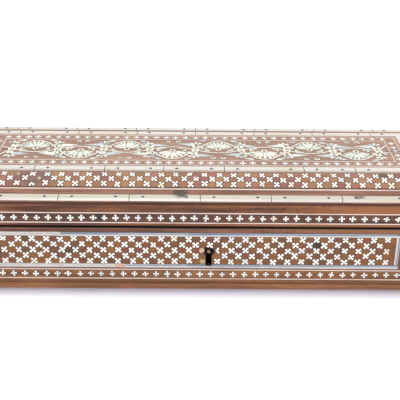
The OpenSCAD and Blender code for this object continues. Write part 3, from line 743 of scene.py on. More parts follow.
class Sheet:
    """A flat sheet in millimetres (x along, y up, z out of the surface) that shapes are laid
    on, trimmed and raised, before it is bent to its surface and set in place."""

    # A hole is cut only into faces this near to its rim, or larger than this area
    NEAR = 8.0
    LARGE = 400.0
    THINNEST = 0.05

    def __init__(self) -> None:
        """Starts an empty sheet with a tint for each face and a mark for what still lies flat."""
        self.bm = bmesh.new()
        self.tint = self.bm.faces.layers.float.new("tint")
        self.flat = self.bm.faces.layers.int.new("flat")

    def lay(self, outline: Iterable[Point], place: Matrix | None = None, tint: float = 0.0) -> None:
        """Lays one flat shape on the sheet.

        Args:
            outline: Corners of the shape, anticlockwise.
            place: Where the shape goes and how it is turned.
            tint: The shape's tint from 0 to 1.
        """
        place = place or Matrix.Identity(4)
        rim = [self.bm.verts.new(place @ Vector((x, y, 0.0))) for x, y in outline]
        face = self.bm.faces.new(rim)
        face[self.tint], face[self.flat] = tint, 1

    def lay_ribbon(self, line: Sequence[Point], widths: Sequence[float], tint: float = 0.0) -> None:
        """Lays a ribbon along a line, as quads that share their edges.

        Args:
            line: Points of the ribbon's middle.
            widths: The ribbon's width at each point.
            tint: The ribbon's tint from 0 to 1.
        """
        rungs = []
        points = [Vector((x, y, 0.0)) for x, y in line]
        for i, (middle, width) in enumerate(zip(points, widths)):
            ahead = points[min(i + 1, len(points) - 1)] - points[max(i - 1, 0)]
            across = Vector((-ahead.y, ahead.x, 0.0)).normalized()
            across *= max(width, self.THINNEST) / 2
            rungs.append([self.bm.verts.new(middle + across), self.bm.verts.new(middle - across)])
        for first, second in zip(rungs, rungs[1:]):
            face = self.bm.faces.new((first[0], first[1], second[1], second[0]))
            face[self.tint], face[self.flat] = tint, 1

    def lying(self) -> list[bmesh.types.BMFace]:
        """Returns the faces that still lie flat."""
        return [face for face in self.bm.faces if face[self.flat]]

    def slice(
        self, faces: Iterable[bmesh.types.BMFace], point: Vector, out: Vector, drop: bool
    ) -> None:
        """Cuts faces with a plane.

        Args:
            faces: The faces to cut.
            point: A point of the plane.
            out: The plane's normal.
            drop: Whether what lies beyond the plane is dropped.
        """
        faces = list(faces)
        edges = {edge for face in faces for edge in face.edges}
        verts = {vert for face in faces for vert in face.verts}
        geom = faces + list(edges) + list(verts)
        bmesh.ops.bisect_plane(
            self.bm, geom=geom, dist=1e-5, plane_co=point, plane_no=out, clear_outer=drop
        )

    def trim(self, left: float, right: float, low: float, high: float) -> None:
        """Trims what lies flat to a rectangle.

        Args:
            left: The rectangle's left edge.
            right: Its right edge.
            low: Its lower edge.
            high: Its upper edge.
        """
        for point, out in (
            ((left, 0, 0), (-1, 0, 0)),
            ((right, 0, 0), (1, 0, 0)),
            ((0, low, 0), (0, -1, 0)),
            ((0, high, 0), (0, 1, 0)),
        ):
            self.slice(self.lying(), Vector(point), Vector(out), True)

    def punch(self, hole: Sequence[Point]) -> None:
        """Punches a convex hole through what lies flat.

        Args:
            hole: Corners of the hole, anticlockwise.
        """
        middle = sum((Vector((x, y, 0)) for x, y in hole), Vector()) / len(hole)
        near_by = self.NEAR + max((Vector((x, y, 0)) - middle).length for x, y in hole)
        edges = []
        for (ax, ay), (bx, by) in zip(hole, list(hole[1:]) + [hole[0]]):
            edges.append((Vector((ax, ay, 0)), Vector((by - ay, ax - bx, 0)).normalized()))
        for point, out in edges:
            near = []
            for face in self.lying():
                large = face.calc_area() > self.LARGE
                if large or (face.calc_center_bounds() - middle).length < near_by:
                    near.append(face)
            self.slice(near, point, out, False)
        inside = []
        for face in self.lying():
            centre = face.calc_center_median()
            if all((centre - point).dot(out) < 0 for point, out in edges):
                inside.append(face)
        bmesh.ops.delete(self.bm, geom=inside, context="FACES")

    def raise_flat(self, low: float, high: float, taper: Point = (0.0, 0.0)) -> None:
        """Gives what lies flat its thickness.

        Args:
            low: Height of the underside over the surface.
            high: Height of the top over the surface.
            taper: How far the top's sides draw in, along x and along y.
        """
        faces = self.lying()
        verts = {vert for face in faces for vert in face.verts}
        bmesh.ops.translate(self.bm, vec=(0, 0, low), verts=list(verts))
        grown = bmesh.ops.extrude_face_region(self.bm, geom=faces)["geom"]
        tops = [item for item in grown if isinstance(item, bmesh.types.BMVert)]
        bmesh.ops.translate(self.bm, vec=(0, 0, high - low), verts=tops)
        if any(taper):
            for face in [item for item in grown if isinstance(item, bmesh.types.BMFace)]:
                middle = face.calc_center_bounds()
                for vert in face.verts:
                    vert.co.x += math.copysign(taper[0], middle.x - vert.co.x)
                    vert.co.y += math.copysign(taper[1], middle.y - vert.co.y)
        for face in self.bm.faces:
            face[self.flat] = 0

    def bend(self, surface: Callable[[Vector], Vector]) -> None:
        """Moves each corner of the sheet onto a surface."""
        for vert in self.bm.verts:
            vert.co = surface(vert.co)

    def close(self) -> None:
        """Closes the holes that cuts left."""
        loose = [edge for edge in self.bm.edges if edge.is_boundary]
        if loose:
            bmesh.ops.holes_fill(self.bm, edges=loose, sides=0)

    def set_in(self, frame: Matrix) -> None:
        """Puts the sheet in its place in the box, its faces outwards."""
        bmesh.ops.transform(self.bm, matrix=frame, verts=self.bm.verts)
        bmesh.ops.recalc_face_normals(self.bm, faces=self.bm.faces)

    def join(self, other: "Sheet") -> None:
        """Takes another sheet's shapes over, and empties it.

        Args:
            other: The sheet that is taken over.
        """
        mesh = bpy.data.meshes.new("part")
        other.bm.to_mesh(mesh)
        other.bm.free()
        self.bm.from_mesh(mesh)
        bpy.data.meshes.remove(mesh)


def all_round(count: int, make_side: Callable[[Side], Sequence[Sheet]]) -> list[Sheet]:
    """Joins what is made for each side of the box, sheet by sheet.

    Args:
        count: How many sheets each side has.
        make_side: Makes the sheets of one side.

    Returns:
        The joined sheets.
    """
    whole = [Sheet() for _ in range(count)]
    for side in Side:
        for total, part in zip(whole, make_side(side)):
            total.join(part)
    return whole


# An upright face: the sheet's y becomes up, and its z points out of the face.
UPRIGHT = Matrix(((1, 0, 0, 0), (0, 0, -1, 0), (0, 1, 0, 0), (0, 0, 0, 1)))
# Half a petal from its waist to its tip, against the flower's size: how far out, how wide, and
# how much of the fill's width goes outwards there; and how far out the notch between two is.
LOBE = ((0.40, 0.18, 0.1), (0.60, 0.35, 0.4), (0.84, 0.35, 0.8), (0.98, 0.15, 1.0))
NOTCH = 0.19


def turned(outline: Iterable[Point], degrees: float) -> list[Point]:
    """Turns an outline about its middle."""
    cos, sin = math.cos(math.radians(degrees)), math.sin(math.radians(degrees))
    return [(x * cos - y * sin, x * sin + y * cos) for x, y in outline]


def quatrefoil(size: float, fat: float, grow: float, petals: Sequence[float]) -> list[Point]:
    """Outline of a four-petalled flower: round lobes on narrow waists.

    Args:
        size: Distance from the middle to a petal's tip.
        fat: Width of the petals against the usual one.
        grow: How far the outline is set out all round.
        petals: Length of each petal against the usual one; a lost petal has none.

    Returns:
        The outline's corners, anticlockwise.
    """
    notch = NOTCH * size * fat + grow
    outline = []
    for quarter, length in enumerate(petals):
        side = [(u * size * length + out * grow, v * size * fat + grow) for u, v, out in LOBE]
        petal = [(u, -v) for u, v in side] + side[::-1] if length else []
        outline += turned([(notch, -notch)] + petal, 90 * quarter)
    return outline


def rectangle(left: float, right: float, low: float, high: float) -> list[Point]:
    """Corners of a rectangle, anticlockwise."""
    return [(left, low), (right, low), (right, high), (left, high)]


def ring(x: float, y: float, radius: float, corners: int = 12) -> list[Point]:
    """Corners of a round shape, anticlockwise."""
    steps = [2 * math.pi * i / corners for i in range(corners)]
    return [(x + radius * math.cos(step), y + radius * math.sin(step)) for step in steps]


def spots(length: float, pitch: float, odd: int) -> list[float]:
    """Middles of the pitches that fit in a length: an odd number, or an even one if odd is 0."""
    count = 2 * math.floor((length / pitch - odd) / 2) + odd
    return [(i - (count - 1) / 2) * pitch for i in range(count)]


class Hand:
    """The inlayer's hand: small seeded differences from piece to piece."""

    # Spread of a flower's turn in degrees, and of its stretch along and across
    LEAN = 5
    STRETCH = (0.05, 0.06)
    # A flower's slip across its row against that along it
    ACROSS = 0.7
    # Middle, spread and limits of a petal's length against the usual one
    PETAL = (0.98, 0.08)
    SHORTEST, LONGEST = 0.75, 1.1

    def __init__(self, seed: int) -> None:
        """Starts the hand from a seed."""
        self.random = random.Random(seed)

    def place(self, x: float, y: float, slip: float) -> Matrix:
        """Where a flower really lies: a little off its place, turned and squeezed.

        Args:
            x: Where it should lie along its row.
            y: Where it should lie across its row.
            slip: Spread of how far it is off, in millimetres.

        Returns:
            The flower's place and shape.
        """
        gauss = self.random.gauss
        move = Matrix.Translation((x + gauss(0, slip), y + gauss(0, slip * self.ACROSS), 0))
        turn = turn_by(gauss(0, self.LEAN))
        along, across = (1 + gauss(0, spread) for spread in self.STRETCH)
        return move @ turn @ Matrix.Diagonal((along, across, 1, 1))

    def petals(self) -> tuple[float, ...]:
        """Lengths of a flower's four petals, which are hardly ever alike."""
        lengths = (self.random.gauss(*self.PETAL) for _ in range(4))
        return tuple(min(self.LONGEST, max(self.SHORTEST, length)) for length in lengths)

    def tint(self) -> float:
        """A sheet's tint."""
        return self.random.random()


# ---------------------------------------------------------------- flower rows


@dataclass
class Flowers:
    """Flowers of one surface: where each lies, and the flat shapes they are cut to."""

    size: float
    fat: float
    turn: float
    hand: Hand
    slip: float = 0.22
    planted: list[tuple[Matrix, tuple[float, ...]]] = field(default_factory=list)

    def plant(self, x: float, y: float, petals: tuple[float, ...] | None = None) -> None:
        """Plants one flower, with its own petals if they are given."""
        self.planted.append((self.hand.place(x, y, self.slip), petals or self.hand.petals()))

    def lay(self, sheet: Sheet, low: float, high: float, grow: float = 0.0) -> None:
        """Lays and raises the bone of all the flowers, or the fill round it if it is grown.

        Args:
            sheet: The sheet that gets the shapes.
            low: Height of the undersides.
            high: Height of the tops.
            grow: How far the fill shows round the bone; nothing for the bone itself.
        """
        for place, petals in self.planted:
            outline = turned(quatrefoil(self.size, self.fat, grow, petals), self.turn)
            sheet.lay(outline, place, 0.0 if grow else self.hand.tint())
        sheet.raise_flat(low, high)


class Lattice:
    """Diamond tiles of wood whose corners lie under the middles of staggered flowers."""

    def __init__(self, pitch: float, row_pitch: float, gap: float, hand: Hand) -> None:
        """Starts the lattice with its pitches and the gap that each tile leaves.

        Args:
            pitch: Distance between two flowers of a row.
            row_pitch: Distance between two rows.
            gap: How far each tile's corners draw in.
            hand: The inlayer's hand, which picks the tints.
        """
        self.outline = [
            (-pitch / 2 + gap, 0.0),
            (0.0, -row_pitch + gap),
            (pitch / 2 - gap, 0.0),
            (0.0, row_pitch - gap),
        ]
        self.pitch = pitch
        self.hand = hand

    def lay_row(self, sheet: Sheet, places: Sequence[float], height: float) -> None:
        """Lays the tiles of one row, between and beside its flowers.

        Args:
            sheet: The sheet that gets the shapes.
            places: Places of the row's flowers.
            height: The row's height.
        """
        first = places[0] - self.pitch / 2
        for i in range(len(places) + 1):
            place = Matrix.Translation((first + i * self.pitch, height, 0))
            sheet.lay(self.outline, place, self.hand.tint())


@dataclass(frozen=True)
class FieldSizes:
    """The flower fields on the sides of the case."""

    # Widths of the fields with the strips round them, and the middle of a corner field
    middle_w: float = 309.2
    corner_w: float = 41.4
    corner_x: float = 181.3
    end_w: float = 135.0
    strip: float = 3.4
    rows: int = 5
    pitch: float = 10.66
    row_pitch: float = 4.72
    front_shift: float = 0.9
    flower: float = 2.95
    fat: float = 0.92
    slip: float = 0.3
    # Dark fill that shows round a flower, and half the joint between two tiles
    fill: float = 0.4
    tile_gap: float = 0.2
    # Heights over the board of the bed, the tiles, the fill and the bone
    bed_top: float = -0.16
    tile_top: float = -0.07
    fill_top: float = -0.045
    bone_top: float = 0.02
    # The lock's hole, and the room that the flowers leave round it
    key_clear: float = 5.72
    key_d: float = 6.6
    slot_w: float = 4.4
    slot_drop: float = 11.8

    def spans(self, side: Side) -> list[tuple[float, float]]:
        """Middle and width of each field of a side, the strips round it included.

        Args:
            side: The side of the box.

        Returns:
            A middle and a width for each field.
        """
        if not side.wide:
            return [(0.0, self.end_w)]
        corners = [(x, self.corner_w) for x in (-self.corner_x, self.corner_x)]
        return [(0.0, self.middle_w), *corners]


@dataclass(frozen=True)
class ReedSizes:
    """The reeded strips round a flower field, laid in short lengths."""

    # Width and tint of each reed, from the strip's upper or outer edge; the tints paint the shade
    # and the reflections on the reeds' rounded faces
    reeds: tuple[tuple[float, float], ...] = (
        (0.5, 0.0),
        (0.85, 0.5),
        (0.4, 0.2),
        (0.85, 0.58),
        (0.8, 0.78),
    )
    gap: float = 0.07
    top: float = 0.03
    # How far a reed's sides draw in at its top, and its ends
    side_taper: float = 0.14
    end_taper: float = 0.02
    shortest: float = 15
    usual: tuple[float, float] = (42, 60)
    # Spread of a length's shade, share and tint of plain lengths, and how little their reeds differ
    shade: tuple[float, float] = (-0.1, 0.08)
    plain_share: float = 0.25
    plain_tint: float = 0.86
    plain_spread: float = 0.12
    # Ends and tints of the plain lengths that the front's lower and upper strips start with
    lower_plain: tuple[tuple[float, float], ...] = ((94.9, 0.88), (101.7, 1.0))
    upper_plain: tuple[tuple[float, float], ...] = ((54.6, 0.88),)


class FieldInlay:
    """One side's flower fields: dark bed, wood tiles, bone flowers and reeded strips."""

    SEED = 40
    TURN = 45
    # Row and place of the front's lost flowers, and of the one with two petals left. What lies
    # this near to such a place, or to the end of a length, is what is meant.
    LOST = ((0, 6.23), (2, 6.23))
    HALF = (2, 16.9)
    NEAR = 1
    # How far the tiles and the reeds stand back from the keyhole, where they are worn
    WORN_TILES, WORN_REEDS = 1.0, 0.6
    # The keyhole's slot is worn this many times less than its round part
    SLOT_WORN = 3
    # The first patch's corners, and how far aside the round one lies and its radius
    SQUARE_PATCH = ((-2.1, -1.6), (1.5, -1.8), (1.8, 1.5), (-1.9, 1.8))
    ROUND_PATCH = (-0.9, 2.1)
    PATCH_TINTS, PATCH_TOP = (0.1, 0.9), -0.02
    # Radii of the ragged soot round the keyhole, from the first angle on in equal steps
    SOOT = (4.9, 4.3, 4.8, 4.2, 5.2, 4.4, 5.0)
    SOOT_START, SOOT_STEP = -15, 35
    SOOT_LOW, SOOT_TOP = -0.2, -0.03

    def __init__(self, side: Side, case: CaseSizes) -> None:
        """Starts the fields of one side.

        Args:
            side: The side of the box.
            case: Sizes of the case and the lid.
        """
        self.side = side
        self.case = case
        self.sizes = sizes = FieldSizes()
        self.strips = ReedSizes()
        self.low, self.high = case.field_z
        self.hand = Hand(self.SEED + side.value)
        self.flowers = Flowers(sizes.flower, sizes.fat, self.TURN, self.hand, sizes.slip)
        self.lattice = Lattice(sizes.pitch, sizes.row_pitch, sizes.tile_gap, self.hand)
        self.front = side is Side.FRONT

    def keyhole(self, worn: float = 0.0) -> list[list[Point]]:
        """Outlines of the keyhole's round part and of its slot, set out where it is worn.

        Args:
            worn: How far the round part is set out.

        Returns:
            Corners of the round part and of the slot.
        """
        (x, z), less = self.case.key, worn / self.SLOT_WORN
        half, drop = self.sizes.slot_w / 2 + less, self.sizes.slot_drop + less
        slot = rectangle(x - half, x + half, z - drop, z)
        return [ring(x, z, self.sizes.key_d / 2 + worn, 9), slot]

    def height(self, row: int) -> float:
        """Height of a row's middle."""
        return self.low + self.sizes.strip + (row + 0.5) * self.sizes.row_pitch

    def places(self, middle: float, width: float, row: int) -> list[float]:
        """Places of a row's flowers.

        Args:
            middle: The field's middle along the side.
            width: The field's width, the strips round it included.
            row: The row, counted from the lowest.

        Returns:
            Places along the side.
        """
        sizes = self.sizes
        shift = sizes.front_shift if self.front else 0.0
        run = spots(width - 2 * sizes.strip - sizes.front_shift, sizes.pitch, row % 2)
        return [middle + x + shift for x in run]

    def plant(self, row: int, x: float) -> None:
        """Plants a flower, unless the keyhole or a patch has its place.

        Args:
            row: The row, counted from the lowest.
            x: The place along the side.
        """
        high, (key_x, key_z), room = self.height(row), self.case.key, self.sizes.key_clear
        if self.front and abs(x - key_x) < room and high < key_z + room:
            return
        special = (*self.LOST, self.HALF) if self.front else ()
        here = [spot for spot in special if row == spot[0] and abs(x - spot[1]) < self.NEAR]
        if not here or here == [self.HALF]:
            self.flowers.plant(x, high, (1, 0, 0, 1) if here else None)

    def lay_field(self, bed: Sheet, tiles: Sheet, middle: float, width: float) -> None:
        """Lays the bed and the tiles of one field, and plants its flowers.

        Args:
            bed: The sheet for the bed.
            tiles: The sheet for the tiles.
            middle: The field's middle along the side.
            width: The field's width, the strips round it included.
        """
        sizes = self.sizes
        half = width / 2 - sizes.strip
        inner = (middle - half, middle + half, self.low + sizes.strip, self.high - sizes.strip)
        bed.lay(rectangle(*inner))
        for row in range(-1, sizes.rows + 1):
            places = self.places(middle, width, row)
            self.lattice.lay_row(tiles, places, self.height(row))
            if 0 <= row < sizes.rows:
                for x in places:
                    self.plant(row, x)
        tiles.trim(*inner)
        if self.front and middle == 0:
            for hole in self.keyhole(self.WORN_TILES):
                tiles.punch(hole)
            for hole in self.keyhole():
                bed.punch(hole)
        bed.raise_flat(-self.case.inlay, sizes.bed_top)
        tiles.raise_flat(-self.case.inlay, sizes.tile_top)

    def lay_reeds(self, sheet: Sheet, middle: float, width: float) -> None:
        """Lays the reeded strips round one field, in short lengths.

        Args:
            sheet: The sheet that gets the shapes.
            middle: The field's middle along the side.
            width: The field's width, the strips round it included.
        """
        strip, half, strips = self.sizes.strip, width / 2, self.strips
        upright = self.high - self.low - 2 * strip
        runs = (
            (middle - half, self.high - strip, width, False),
            (middle - half, self.low, width, False),
            (middle - half, self.low + strip, upright, True),
            (middle + half - strip, self.low + strip, upright, True),
        )
        for left, low, length, stands in runs:
            start = 0.0
            while start < length:
                end = start + self.hand.random.uniform(*strips.usual)
                end = length if length - end < strips.shortest else end
                is_plain = self.hand.random.random() < strips.plain_share
                plain = strips.plain_tint if is_plain else None
                if self.front and middle == 0:
                    end, plain = self.front_length(start, end, low, stands)
                self.lay_length(sheet, (left, low), (start, end), stands, plain)
                start = end

    def front_length(
        self, start: float, end: float, low: float, stands: bool
    ) -> tuple[float, float | None]:
        """Ends the front's first plain lengths where they end, and leaves the others reeded.

        Args:
            start: Where the length starts along its strip.
            end: Where it would end.
            low: Height of the strip's lower edge.
            stands: Whether the strip stands upright.

        Returns:
            Where the length ends, and its tint if it is plain.
        """
        starts = self.strips.lower_plain if low == self.low else self.strips.upper_plain
        for last, tint in () if stands else starts:
            if start < last - self.NEAR:
                return min(end, last), tint
        return end, None

    def lay_length(
        self,
        sheet: Sheet,
        corner: Point,
        span: tuple[float, float],
        stands: bool,
        plain: float | None,
    ) -> None:
        """Lays one length of a strip, reed by reed.

        Args:
            sheet: The sheet for the reeds.
            corner: Lower left corner of the strip.
            span: Where the length starts and ends along the strip.
            stands: Whether the strip stands upright.
            plain: Tint of a length whose reeds look alike, if it is one.
        """
        strips, (left, low), (start, end) = self.strips, corner, span
        gap, shade = strips.gap, self.hand.random.uniform(*strips.shade)
        across = self.sizes.strip
        for width, tint in strips.reeds:
            across -= width
            first, last = across + gap, across + width - gap
            if stands:
                shape = rectangle(left + first, left + last, low + start, low + end - gap)
            else:
                shape = rectangle(left + start, left + end - gap, low + first, low + last)
            if plain is None:
                tint += shade
            else:
                tint = plain - strips.plain_spread * (0.5 - tint)
            sheet.lay(shape, tint=min(1.0, max(0.0, tint)))
        if self.front and not stands:
            for hole in self.keyhole(self.WORN_REEDS):
                sheet.punch(hole)
        taper = (strips.end_taper, strips.side_taper)
        sheet.raise_flat(-self.case.inlay, strips.top, taper[::-1] if stands else taper)

    def build(self, workshop: Workshop) -> None:
        """Makes the side's pieces.

        Args:
            workshop: The workshop that makes the pieces.
        """
        name, sizes, foot = self.side.name.lower(), self.sizes, -self.case.inlay
        bed, tiles, bone, reeds = Sheet(), Sheet(), Sheet(), Sheet()
        for middle, width in sizes.spans(self.side):
            self.lay_field(bed, tiles, middle, width)
            self.lay_reeds(reeds, middle, width)
        self.flowers.lay(bed, foot, sizes.fill_top, sizes.fill)
        self.flowers.lay(bone, foot, sizes.bone_top)
        for sheet in (bed, tiles, bone, reeds):
            sheet.set_in(self.case.frame(self.side) @ UPRIGHT)
        make = workshop.piece
        make(f"{name}_field_bed", bed, Body.BOX, "dark_mastic", Slot.HORN)
        make(f"{name}_field_tiles", tiles, Body.BOX, "rosewood_tiles", Slot.ROSEWOOD)
        replaced = [f"field_flowers_{name}"]
        make(f"{name}_field_bone", bone, Body.BOX, "bone_flowers", Slot.BONE, replaced)
        replaced = [f"field_frame_{name}"]
        make(f"{name}_field_reeds", reeds, Body.BOX, "reeded_bone", Slot.REEDED_BONE, replaced)
        if self.front:
            self.build_wear(workshop)

    def build_wear(self, workshop: Workshop) -> None:
        """Makes the putty patches in two flowers' places and the black wear round the keyhole.

        Args:
            workshop: The workshop that makes the pieces.
        """
        putty, soot, (key_x, key_z) = Sheet(), Sheet(), self.case.key
        (first, x), (second, _) = self.LOST
        (square_tint, round_tint), (aside, radius) = self.PATCH_TINTS, self.ROUND_PATCH
        place = Matrix.Translation((x, self.height(first), 0))
        putty.lay(self.SQUARE_PATCH, place, square_tint)
        putty.lay(ring(x + aside, self.height(second), radius, 9), tint=round_tint)
        putty.raise_flat(-self.case.inlay, self.PATCH_TOP)
        jagged = []
        for i, radius in enumerate(self.SOOT):
            angle = math.radians(self.SOOT_START + self.SOOT_STEP * i)
            jagged.append((key_x + radius * math.cos(angle), key_z + radius * math.sin(angle)))
        soot.lay(jagged)
        for hole in self.keyhole():
            soot.punch(hole)
        soot.raise_flat(self.SOOT_LOW, self.SOOT_TOP)
        for sheet in (putty, soot):
            sheet.set_in(self.case.frame(self.side) @ UPRIGHT)
        workshop.piece("front_field_patches", putty, Body.BOX, "patch_putty", Slot.BONE)
        workshop.piece("keyhole_wear", soot, Body.BOX, "black_soot", Slot.HORN)


@dataclass(frozen=True)
class Band:
    """A row of upright flowers round the case or the lid, between two bone lines."""

    name: str
    body: Body
    odd: int
    pitch: float = 8.35
    size: float = 2.35
    fat: float = 0.95
    half: float = 3.6
    fill: float = 0.42
    # Heights over the board of the ground, the fill and the bone
    ground_top: float = -0.1
    fill_top: float = -0.05
    bone_top: float = 0.02

    def make_side(self, side: Side, case: CaseSizes, height: float) -> list[Sheet]:
        """Lays one side's ground, fill and flowers.

        Args:
            side: The side of the box.
            case: Sizes of the case and the lid.
            height: Height of the band's middle.

        Returns:
            The sheets of the ground, the fill and the bone.
        """
        parts = ground, fill, bone = [Sheet() for _ in range(3)]
        run = case.length(side) / 2
        ground.lay(rectangle(-run, run, -self.half, self.half))
        ground.raise_flat(-case.inlay, self.ground_top)
        flowers = Flowers(self.size, self.fat, 0, Hand(round(height) + side.value))
        for x in spots(case.length(side) - self.pitch / 2, self.pitch, self.odd):
            flowers.plant(x, 0.0)
        flowers.lay(fill, -case.inlay, self.fill_top, self.fill)
        flowers.lay(bone, -case.inlay, self.bone_top)
        for part in parts:
            part.set_in(case.frame(side) @ Matrix.Translation((0, 0, height)) @ UPRIGHT)
        return parts

    def build(self, workshop: Workshop, case: CaseSizes, height: float) -> None:
        """Makes the band's pieces, each in one round all four sides.

        Args:
            workshop: The workshop that makes the pieces.
            case: Sizes of the case and the lid.
            height: Height of the band's middle.
        """
        ground, fill, bone = all_round(3, lambda side: self.make_side(side, case, height))
        make, name = workshop.piece, f"{self.name}_band"
        make(f"{name}_ground", ground, self.body, f"rosewood_{name}", Slot.ROSEWOOD)
        make(f"{name}_fill", fill, self.body, "dark_mastic", Slot.HORN)
        replaced = [f"{self.name}_flowers"]
        make(f"{name}_bone", bone, self.body, "bone_flowers", Slot.BONE, replaced)


@dataclass(frozen=True)
class Cushion:
    """The convex moulding of the lid, with three staggered rows of turned flowers."""

    radius: float = 19.225
    foot_angle: float = 51.28
    top_inset: float = 32.0
    # The rows, and where the bed starts and ends, along the curve from the moulding's foot
    first_row: float = 3.5
    row_pitch: float = 4.4
    rows: int = 3
    foot: float = 0.35
    crest: float = 16.1
    bends: int = 12
    # The bed's margin below and above the tiles
    margin: tuple[float, float] = (0.5, 0.3)
    pitch: float = 10.8
    front_shift: float = 1.7
    size: float = 2.75
    fat: float = 0.9
    slip: float = 0.3
    dot: float = 1.4
    fill: float = 0.42
    tile_gap: float = 0.16
    # Heights over the curve: the underside, then the tops of the bed, tiles, fill, dots and bone
    under: float = -0.05
    bed_top: float = 0.08
    tile_top: float = 0.14
    fill_top: float = 0.16
    dot_top: float = 0.2
    bone_top: float = 0.24
    seed: int = 70
    turn: float = 45
    # Row and place of the front's lost flowers, and of the one with two petals left. A flower
    # this near to such a place is the one that is meant.
    lost: tuple[tuple[int, float], ...] = ((2, -133.3), (1, -117.1))
    half: tuple[int, float] = (0, -122.5)
    near: float = 2
    dot_tints: tuple[float, float] = (0.2, 0.6)

    def surface(self, corner: Vector, crest_z: float) -> Vector:
        """Bends a flat corner (along, from the foot, outwards) to the moulding.

        Args:
            corner: The flat corner.
            crest_z: Height of the moulding's upper edge.

        Returns:
            The corner on the moulding, in the side's own frame.
        """
        tilt = math.radians(self.foot_angle) - corner.y / self.radius
        out = self.radius + corner.z
        inset = self.top_inset - out * math.sin(tilt)
        return Vector((corner.x, inset, crest_z - self.radius + out * math.cos(tilt)))

    def plant(self, flowers: Flowers, dots: Sheet, side: Side, row: int, x: float) -> None:
        """Plants a flower, or lays a putty dot where the front has lost one.

        Args:
            flowers: The side's flowers.
            dots: The sheet for the putty dots.
            side: The side of the box.
            row: The row, counted from the lowest.
            x: The place along the side.
        """
        high = self.first_row + row * self.row_pitch
        special = (*self.lost, self.half) if side is Side.FRONT else ()
        here = [spot for spot in special if row == spot[0] and abs(x - spot[1]) < self.near]
        if not here or here == [self.half]:
            flowers.plant(x, high, (0, 0, 1, 1) if here else None)
        else:
            dots.lay(ring(x, high, self.dot), tint=flowers.hand.random.uniform(*self.dot_tints))

    def finish(self, part: Sheet, side: Side, case: CaseSizes) -> None:
        """Bends a part, mitres its ends and puts it in place.

        Args:
            part: The sheet with the part.
            side: The side of the box.
            case: Sizes of the case and the lid.
        """
        for step in range(1, self.bends):
            edge = Vector((0, step * self.crest / self.bends, 0))
            part.slice(part.bm.faces, edge, Vector((0, 1, 0)), False)
        part.bend(lambda corner: self.surface(corner, case.cushion_z))
        corner = Vector((case.length(side) / 2, 0, 0))
        part.slice(part.bm.faces, corner, Vector((1, 1, 0)), True)
        part.slice(part.bm.faces, -corner, Vector((-1, 1, 0)), True)
        part.close()
        part.set_in(case.frame(side))

    def make_side(self, side: Side, case: CaseSizes) -> list[Sheet]:
        """Lays one side's bed, tiles, flowers and dots.

        Args:
            side: The side of the box.
            case: Sizes of the case and the lid.

        Returns:
            The sheets of the bed, the tiles, the bone and the dots.
        """
        parts = bed, tiles, bone, dots = [Sheet() for _ in range(4)]
        hand = Hand(self.seed + side.value)
        flowers = Flowers(self.size, self.fat, self.turn, hand, self.slip)
        lattice = Lattice(self.pitch, self.row_pitch, self.tile_gap, hand)
        run = case.length(side) / 2
        bed.lay(rectangle(-run, run, self.foot, self.crest))
        bed.raise_flat(self.under, self.bed_top)
        shift = self.front_shift if side is Side.FRONT else 0.0
        count = math.ceil(run / self.pitch)
        for row in range(-1, self.rows + 2):
            high, odd = self.first_row + row * self.row_pitch, ((row + 1) % 2) / 2
            line = [(i + odd) * self.pitch + shift for i in range(-count - 1, count + 1)]
            lattice.lay_row(tiles, line, high)
            inset = self.surface(Vector((0, high, 0)), 0.0).y
            for x in line:
                if 0 <= row < self.rows and abs(x) < run - inset - self.size:
                    self.plant(flowers, dots, side, row, x)
        low, high = self.margin
        tiles.trim(-run, run, self.foot + low, self.crest - high)
        tiles.raise_flat(self.under, self.tile_top)
        flowers.lay(bed, self.under, self.fill_top, self.fill)
        flowers.lay(bone, self.under, self.bone_top)
        dots.raise_flat(self.under, self.dot_top)
        for part in parts:
            self.finish(part, side, case)
        return parts

    def build(self, workshop: Workshop, case: CaseSizes) -> None:
        """Makes the moulding's bed, tiles, flowers and the dots in their places.

        Args:
            workshop: The workshop that makes the pieces.
            case: Sizes of the case and the lid.
        """
        bed, tiles, bone, dots = all_round(4, lambda side: self.make_side(side, case))
        make = workshop.piece
        make("cushion_bed", bed, Body.LID, "dark_mastic", Slot.HORN)
        make("cushion_tiles", tiles, Body.LID, "cushion_tiles", Slot.ROSEWOOD)
        make("cushion_bone", bone, Body.LID, "bone_flowers", Slot.BONE, ["cushion_flowers"])
        make("cushion_dots", dots, Body.LID, "patch_putty", Slot.BONE)


# ---------------------------------------------------------------- pinned bone strips


def solids_of(node: bpy.types.Object) -> list[Corners]:
    """Lowest and highest corner of each solid of a CAD node, in millimetres.

    Args:
        node: The node's object, whose mesh is left as it is.

    Returns:
        A pair of corners for each solid.
    """
    bm = bmesh.new()
    bm.from_mesh(node.data)
    bmesh.ops.remove_doubles(bm, verts=bm.verts, dist=1e-6)
    left, boxes = set(bm.verts), []
    while left:
        grown = [left.pop()]
        for vert in grown:
            for edge in vert.link_edges:
                other = edge.other_vert(vert)
                if other in left:
                    left.remove(other)
                    grown.append(other)
        low = Vector([min(vert.co[axis] for vert in grown) for axis in range(3)])
        high = Vector([max(vert.co[axis] for vert in grown) for axis in range(3)])
        boxes.append((low / MM, high / MM))
    bm.free()
    return boxes


